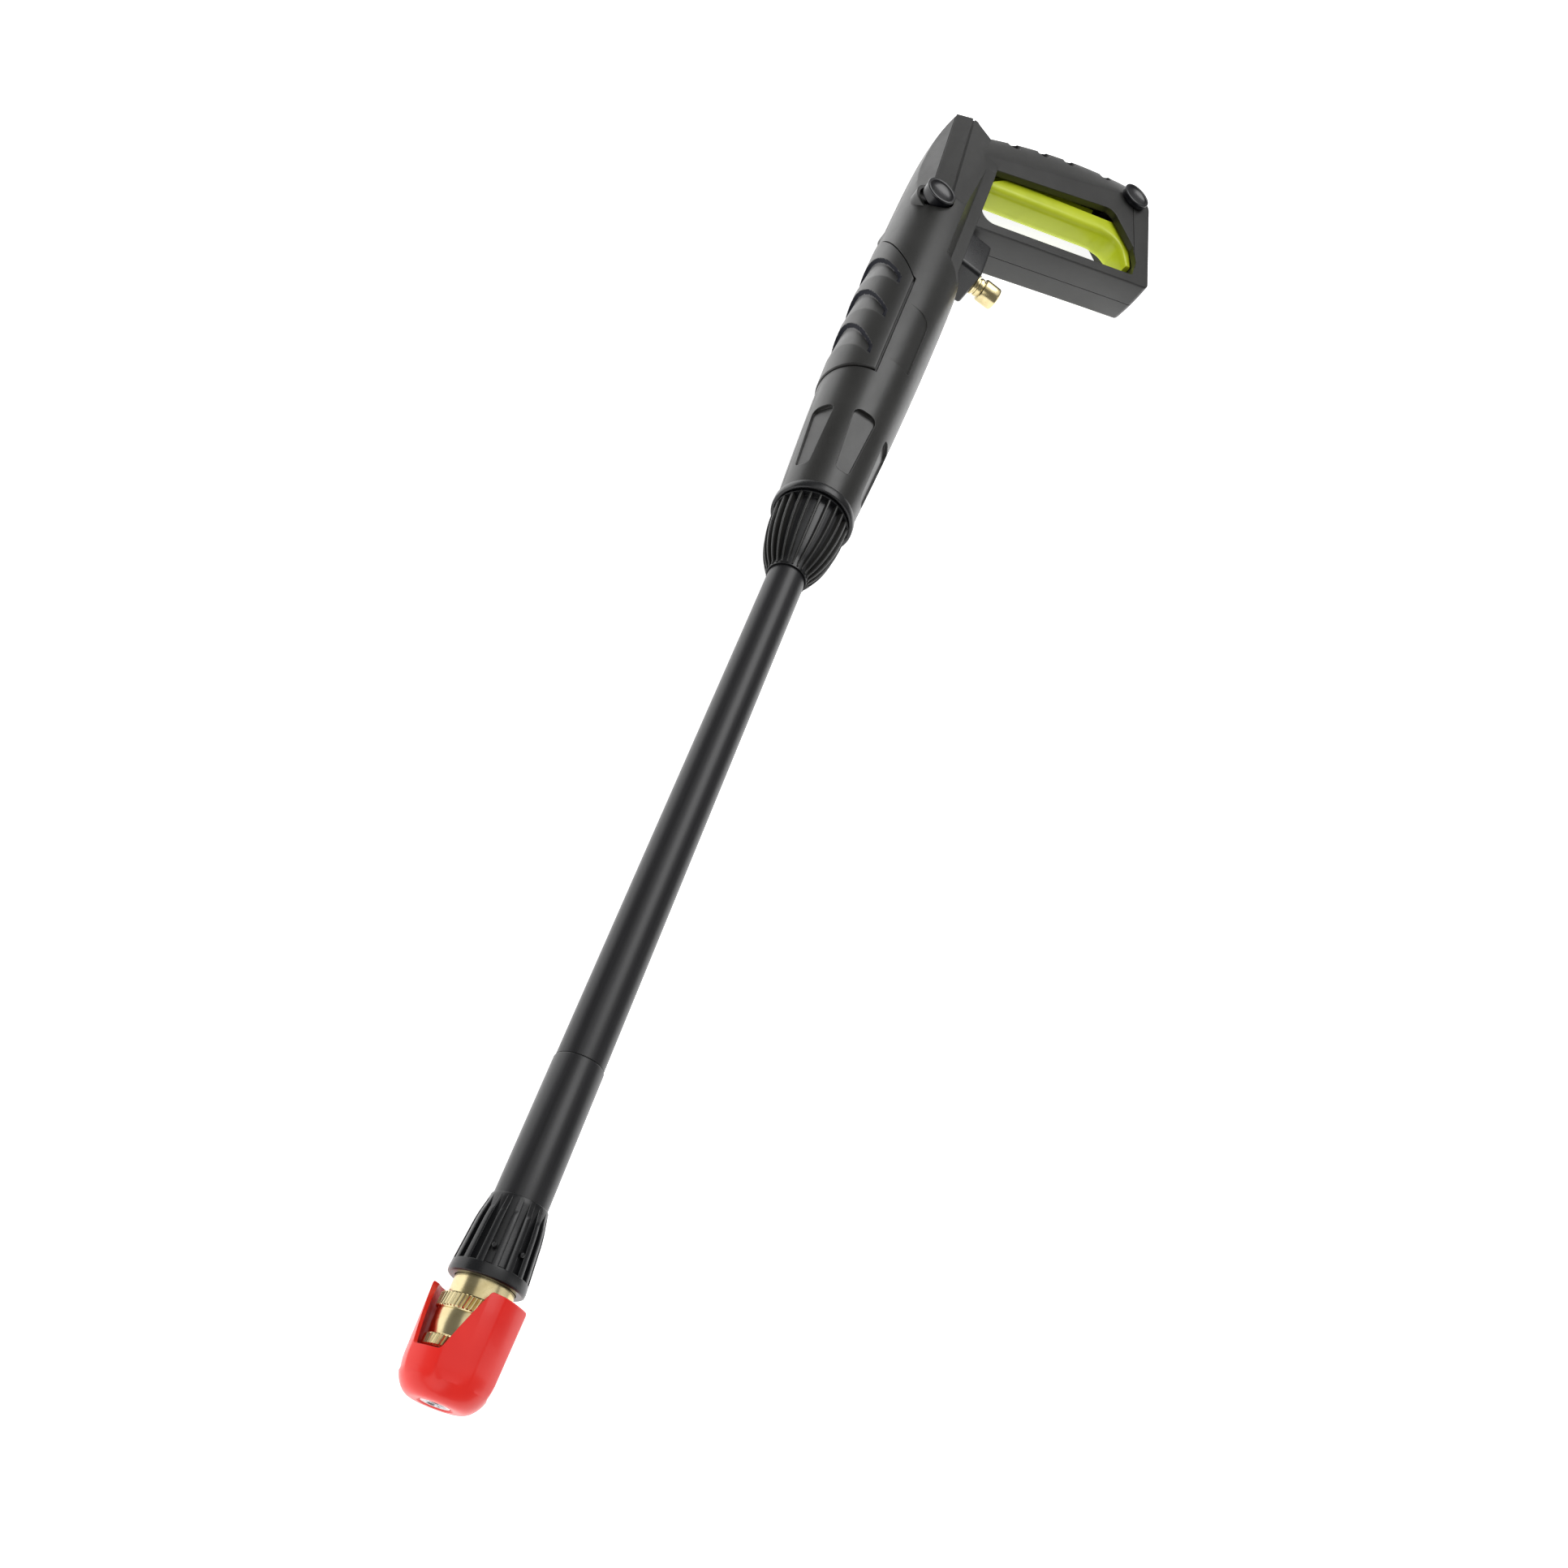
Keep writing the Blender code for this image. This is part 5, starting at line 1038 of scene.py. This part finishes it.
def nozzleGuard():
    inner, rear, radius = guard["radius"] - guard["wall"], guard["rear"], guard["radius"]
    length, flat = guard["tipLength"], guard["tipFlat"]
    profile = [(rear, inner), (rear, radius - 0.6), (rear - 0.2, radius - 0.2), (rear - 0.8, radius)]
    for i in range(15):
        turn = math.pi / 2 * i / 14
        along = guard["tip"] + length - length * math.sin(turn)
        profile.append((along, flat + (guard["frontRadius"] - flat) * math.cos(turn)))
    profile += [(guard["tip"], 6.3), (guard["tip"] + 0.5, guard["hole"]), (guard["roomFront"], guard["hole"])]
    profile += [(guard["roomFront"], guard["room"]), (guard["floor"], guard["room"]), (guard["floor"], inner)]
    body = turned("nozzleGuard", profile, segments=160, bored=True, shape=guardFacets)
    low, high = guard["floor"] + 0.6, rear + 3.0
    outline = roundedOutline([(-5.6, low), (5.6, low), (13.4, high), (-13.4, high)], [1.6, 1.6, 0.0, 0.0])
    for turn in (0.0, math.pi):
        out, across = radial(math.pi / 2 + math.radians(guard["windowTurn"]) + turn)
        rings = []
        for reach in (3.0, 21.6):
            rings.append([tuple(out * reach + across * u + Vector((0.0, y, 0.0))) for u, y in outline])
        cut(body, loft("window", rings))
    softShade(body.data, 24.0)
    return body


finished(nozzleGuard(), red, "lance", "nozzle_guard")

# the spray tip's steel face, almost level with the guard's own tip
face = {
    "back": -433.9, "front": -435.3, "radius": 5.2, "rim": 1.3, "hole": 1.3, "slotWidth": 0.9, "slotLength": 6.8,
}


def tipInsert():
    front, radius = face["front"], face["radius"]
    profile = [(face["back"], face["hole"]), (face["back"], radius), (front + 0.3, radius), (front, radius - 0.3)]
    profile += [(front, radius - face["rim"]), (front + 0.4, 3.6), (front + 0.4, face["hole"])]
    half, reach = face["slotWidth"] / 2, face["slotLength"] / 2
    slot = [(-reach, front - 1.0), (reach, front - 1.0), (reach, front + 0.9), (-reach, front + 0.9)]
    return cut(turned("tipInsert", profile, segments=64, bored=True), slab("slot", slot, -half, half))


finished(tipInsert(), steel, "lance")
print("coupler and guard built")


def dishedButton(name, side, base, top, radius, at, stem=0.0):
    # a flange with a rounded edge, and a hollow face
    profile = [(base, radius - 0.8), (base + 0.4, radius - 0.5), (top - 1.8, radius - 0.4)]
    profile += [(top - 1.5, radius - 0.1), (top - 1.0, radius), (top - 0.5, radius - 0.05)]
    profile += [(top - 0.15, radius - 0.3), (top, radius - 0.8)]
    profile += [(top, radius - 1.6), (top - 0.15, radius - 2.0)]
    dish = radius - 2.2
    for i in range(1, 12):
        turn = i / 11 * math.pi / 2
        profile.append((top - 0.15 - 2.1 * math.sin(turn), dish * math.cos(turn) + 0.02))
    button = turned(name, [(side * a, r) for a, r in profile], "Z", at, 96)
    if stem:
        join(button, rod("stem", side * (base + 1.0), side * stem, 4.0, at, 48))
        softShade(button.data, 35.0)
    return button


lockAt, footAt = casing["lock"], casing["footCap"]
finished(dishedButton("lockButton", 1, 24.0, 31.5, 10.4, lockAt, -18.0), glossBlack, "lock", "lock_button")
finished(dishedButton("lockCap", -1, 19.0, 26.5, 10.4, lockAt), glossBlack, "lock", "lock_cap")
finished(dishedButton("leftFootCap", 1, 16.3, 21.0, 11.0, footAt), glossBlack, "gun", "foot_cap_left")
finished(dishedButton("rightFootCap", -1, 16.3, 21.0, 11.0, footAt), glossBlack, "gun", "foot_cap_right")

inlet = {
    "y": 275.4, "front": 266.0, "rear": 302.5, "top": 16.0, "foot": 37.5, "half": 13.0, "edge": 2.6, "hole": 5.5,
}


def inletBlock():
    front, rear, half, foot = inlet["front"], inlet["rear"], inlet["half"], inlet["foot"]
    outline = roundedOutline([(front, -half), (rear, -half), (rear, half), (front, half)], 3.0, 10)
    edge = ((inlet["top"], 0.0), (foot - 3.0, 0.0), (foot - 1.2, 0.3), (foot - 0.35, 1.2), (foot, inlet["edge"]))
    block = loft("inletBlock", [[(x, y, z) for y, z in inset(outline, draw)] for x, draw in edge])
    cut(block, rod("room", inlet["top"] - 1, foot + 1, inlet["hole"], (inlet["y"], 0.0), 64, "X"))
    softShade(block.data)
    return block


plugProfile = (
    (24.0, 2.6), (24.0, 5.2), (37.8, 5.2), (37.8, 6.4), (38.2, 6.7), (39.4, 6.7), (39.7, 6.4), (39.7, 5.2),
    (40.9, 5.2), (40.9, 5.8), (41.2, 6.0), (42.9, 6.0), (42.9, 5.2), (44.1, 5.2), (44.1, 6.8), (44.5, 7.2),
    (45.1, 7.4), (54.4, 7.4), (55.4, 7.1), (56.0, 6.2), (56.0, 4.2), (55.6, 4.0), (54.6, 2.6),
)
finished(inletBlock(), satinBlack, "gun", "inlet_block")
finished(turned("hosePlug", plugProfile, "X", (inlet["y"], 0.0), 80, bored=True), brass, "gun", "inlet_plug")

lever = {
    "half": 10.0, "edge": 5.0, "depth": 18.0, "ribDepth": 30.0, "hook": 22.0, "hub": 6.5, "hole": 2.8,
    "radii": (0, 7.0, 14.0, 9.0, 0, 0, 6.0, 6.0, 6.0, 0),
    "edgeShares": (0.2, 1.0, 1.0, 0.7, 0.35, 0.2, 0.3, 0.3, 0.3, 0.2),
}


def triggerLever():
    px, py = casing["pivot"]
    footX = casing["reach"] - casing["footWall"]
    tipX, bendX = footX - 0.8, footX - lever["hook"]
    bendY, depth, ribDepth = triggerFront(bendX), lever["depth"], lever["ribDepth"]
    tip = (tipX, bendY - 22.0)
    points = [(px + 5.0, py + 6.0), (casing["windowRoot"] + 1.5, casing["triggerRoot"])]
    points += [(bendX - 8.0, triggerFront(bendX - 8.0)), (bendX + 6.0, bendY - 0.5), (tipX - 4.5, tip[1] - 3.0)]
    points += [tip, (tipX - 8.0, bendY + 20.0), (bendX, bendY + depth)]
    points += [(30.0, triggerFront(30.0) + depth), (px + 2.0, py + 16.0)]
    outline, weights = [], []
    for i, (point, radius, share) in enumerate(zip(points, lever["radii"], lever["edgeShares"])):
        arc = corner(points[i - 1], point, points[(i + 1) % len(points)], radius, 7) if radius else [point]
        outline += arc
        weights += [share] * len(arc)
    body = softSlab("triggerLever", outline, lever["half"], lever["edge"], weights)
    rib = [(px + 2.0, py - 5.0), (px + 7.0, py + 10.0), (26.0, triggerFront(26.0) + 4.0)]
    rib += [(100.0, triggerFront(100.0) + 4.0), (104.0, triggerFront(104.0) + ribDepth)]
    rib.append((24.0, triggerFront(24.0) + ribDepth))
    join(body, slab("rib", rib, -6.0, 6.0), rod("hub", -8.0, 8.0, lever["hub"], (px, py), 48))
    arm = [(-17.0, 341.3), (px, 341.3), (px, py + 4.0), (-13.0, py - 1.0), (-17.0, py - 2.0)]
    join(body, slab("arm", arm, -4.0, 4.0))
    cut(body, rod("hole", -12.0, 12.0, lever["hole"], (px, py), 32))
    softShade(body.data, 30.0)
    return body


finished(triggerLever(), lime, "trigger_lever", "trigger")

screw = {"head": 2.2, "headRadius": 3.0, "shank": 1.5, "length": 14.0, "socket": 1.35, "sunk": 3.1}


def shellScrews():
    # one screw drawn at the origin, copied to its places on the right half
    head, wide, socket, shank = screw["head"], screw["headRadius"], screw["socket"], screw["shank"]
    profile = ((-head, socket), (-head, 2.3), (-head + 0.3, 2.8), (-head + 0.8, wide), (0.0, wide), (0.0, shank),
               (screw["length"] - 1, shank), (screw["length"], 0.4))
    part = turned("screwPart", profile, "Z", (0.0, 0.0), 32)
    cut(part, rod("socket", -head - 1.0, -head + 1.4, socket, (0.0, 0.0), 6))
    part.data.transform(Matrix.Translation(-gunOrigin))
    mesh = bpy.data.meshes.new("shellScrews")
    mesh.from_pydata([place((x, y, screw["sunk"] - screwTop(x, y))) for x, y in screwPlaces], [], [])
    host = added("shellScrews", mesh)
    grown(host, copiesOnPlaces, {"Part": part, "Size": 1.0, "Material": steel})
    softShade(host.data)
    bpy.data.objects.remove(part, do_unlink=True)
    return host


finished(shellScrews(), steel, "gun", *[f"shell_screw_{i + 1}" for i in range(len(screwPlaces))])

# the solids that are shown as they are; the ones not named here are steel
carried = {
    "left_side_strip": charcoal, "right_side_strip": charcoal, "cone_peg_1": satinBlack, "cone_peg_2": satinBlack,
    "valve_body": brass, "lance_socket": brass, "lance_spigot": brass, "inlet_tube": brass,
    "plunger_oring": rubber, "spigot_oring": rubber, "coupler_oring": rubber,
}
for name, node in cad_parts.items():
    if node.hide_render:
        continue
    for holder in node.material_slots:
        holder.material = carried.get(name, steel)
print("small parts built and CAD nodes dressed")

studio = {"floorSize": 60.0, "surround": 0.2, "floorGlow": 0.85, "sunPower": 0.8, "sunAngle": 70.0}
# each softbox: where it stands and what it faces, both in metres from the gun's middle, its size and its power
softboxes = {
    "topSoftbox": ((0.05, 0.9, 1.3), (0.0, 0.0, 0.0), (0.8, 1.5), 10.0),
    "sideSoftbox": ((1.5, -0.2, 0.75), (0.0, 0.0, 0.0), (0.35, 1.6), 2.2),
    "frontSoftbox": ((-0.5, -1.3, 0.6), (0.0, -0.3, 0.0), (0.9, 0.9), 3.5),
}


def areaLight(name, where, target, size, power):
    light = bpy.data.lights.new(name, "AREA")
    light.shape = "RECTANGLE"
    light.size, light.size_y = size
    light.energy = power
    lamp = added(name, light)
    lamp.location = where
    lamp.rotation_euler = (target - where).to_track_quat("-Z", "Y").to_euler()


def paleFloor():
    finish = Finish("paleFloor")
    tone = finish.noise(160.0, 2.0).between(0.3, 0.7)
    colour = finish.blend(tone, (0.93, 0.93, 0.93), (0.95, 0.95, 0.95))
    finish.done(colour, 0.9, Emission_Color=(1.0, 1.0, 1.0, 1.0), Emission_Strength=studio["floorGlow"])
    size = studio["floorSize"] / 2
    mesh = bpy.data.meshes.new("floor")
    corners = [(-size, -size, 0.0), (size, -size, 0.0), (size, size, 0.0), (-size, size, 0.0)]
    mesh.from_pydata(corners, [], [(0, 1, 2, 3)])
    mesh.materials.append(finish.material)
    added("floor", mesh)


def studioWorld():
    # white where the camera sees it, and dim as a light
    world = bpy.data.worlds.new("studio")
    world.use_nodes = True
    seen = addNode(world.node_tree, "ShaderNodeLightPath")
    background = world.node_tree.nodes["Background"]
    background.inputs["Color"].default_value = (1.0, 1.0, 1.0, 1.0)
    strength = seen * (1 - studio["surround"]) + studio["surround"]
    world.node_tree.links.new(strength.socket, background.inputs["Strength"])
    bpy.context.scene.world = world
    bpy.context.scene.view_settings.view_transform = "Standard"


paleFloor()
studioWorld()
middle = place((20.0, 0.0, 0.0))
for name, (where, aim, size, power) in softboxes.items():
    areaLight(name, middle + Vector(where), middle + Vector(aim), size, power)
sun = bpy.data.lights.new("skylight", "SUN")
sun.energy = studio["sunPower"]
sun.angle = math.radians(studio["sunAngle"])
added("skylight", sun).rotation_euler = Vector((-0.1, 0.25, 1.0)).to_track_quat("Z", "Y").to_euler()

view = {
    "at": (-111.07, -491.15, 433.96), "right": (0.8209, 0.2820, 0.4965), "up": (-0.5087, 0.7562, 0.4115),
    "back": (-0.2594, -0.5904, 0.7643), "lens": 29.07, "sensor": 36.0, "nearest": 0.01,
}
camera = added("camera", bpy.data.cameras.new("camera"))
camera.data.lens = view["lens"]
camera.data.sensor_width = view["sensor"]
camera.data.clip_start = view["nearest"]
axes = Matrix([view[key] for key in ("right", "up", "back")]).transposed()
camera.matrix_world = Matrix.Translation(place(view["at"])) @ axes.to_4x4()
bpy.context.scene.camera = camera
print("studio set")
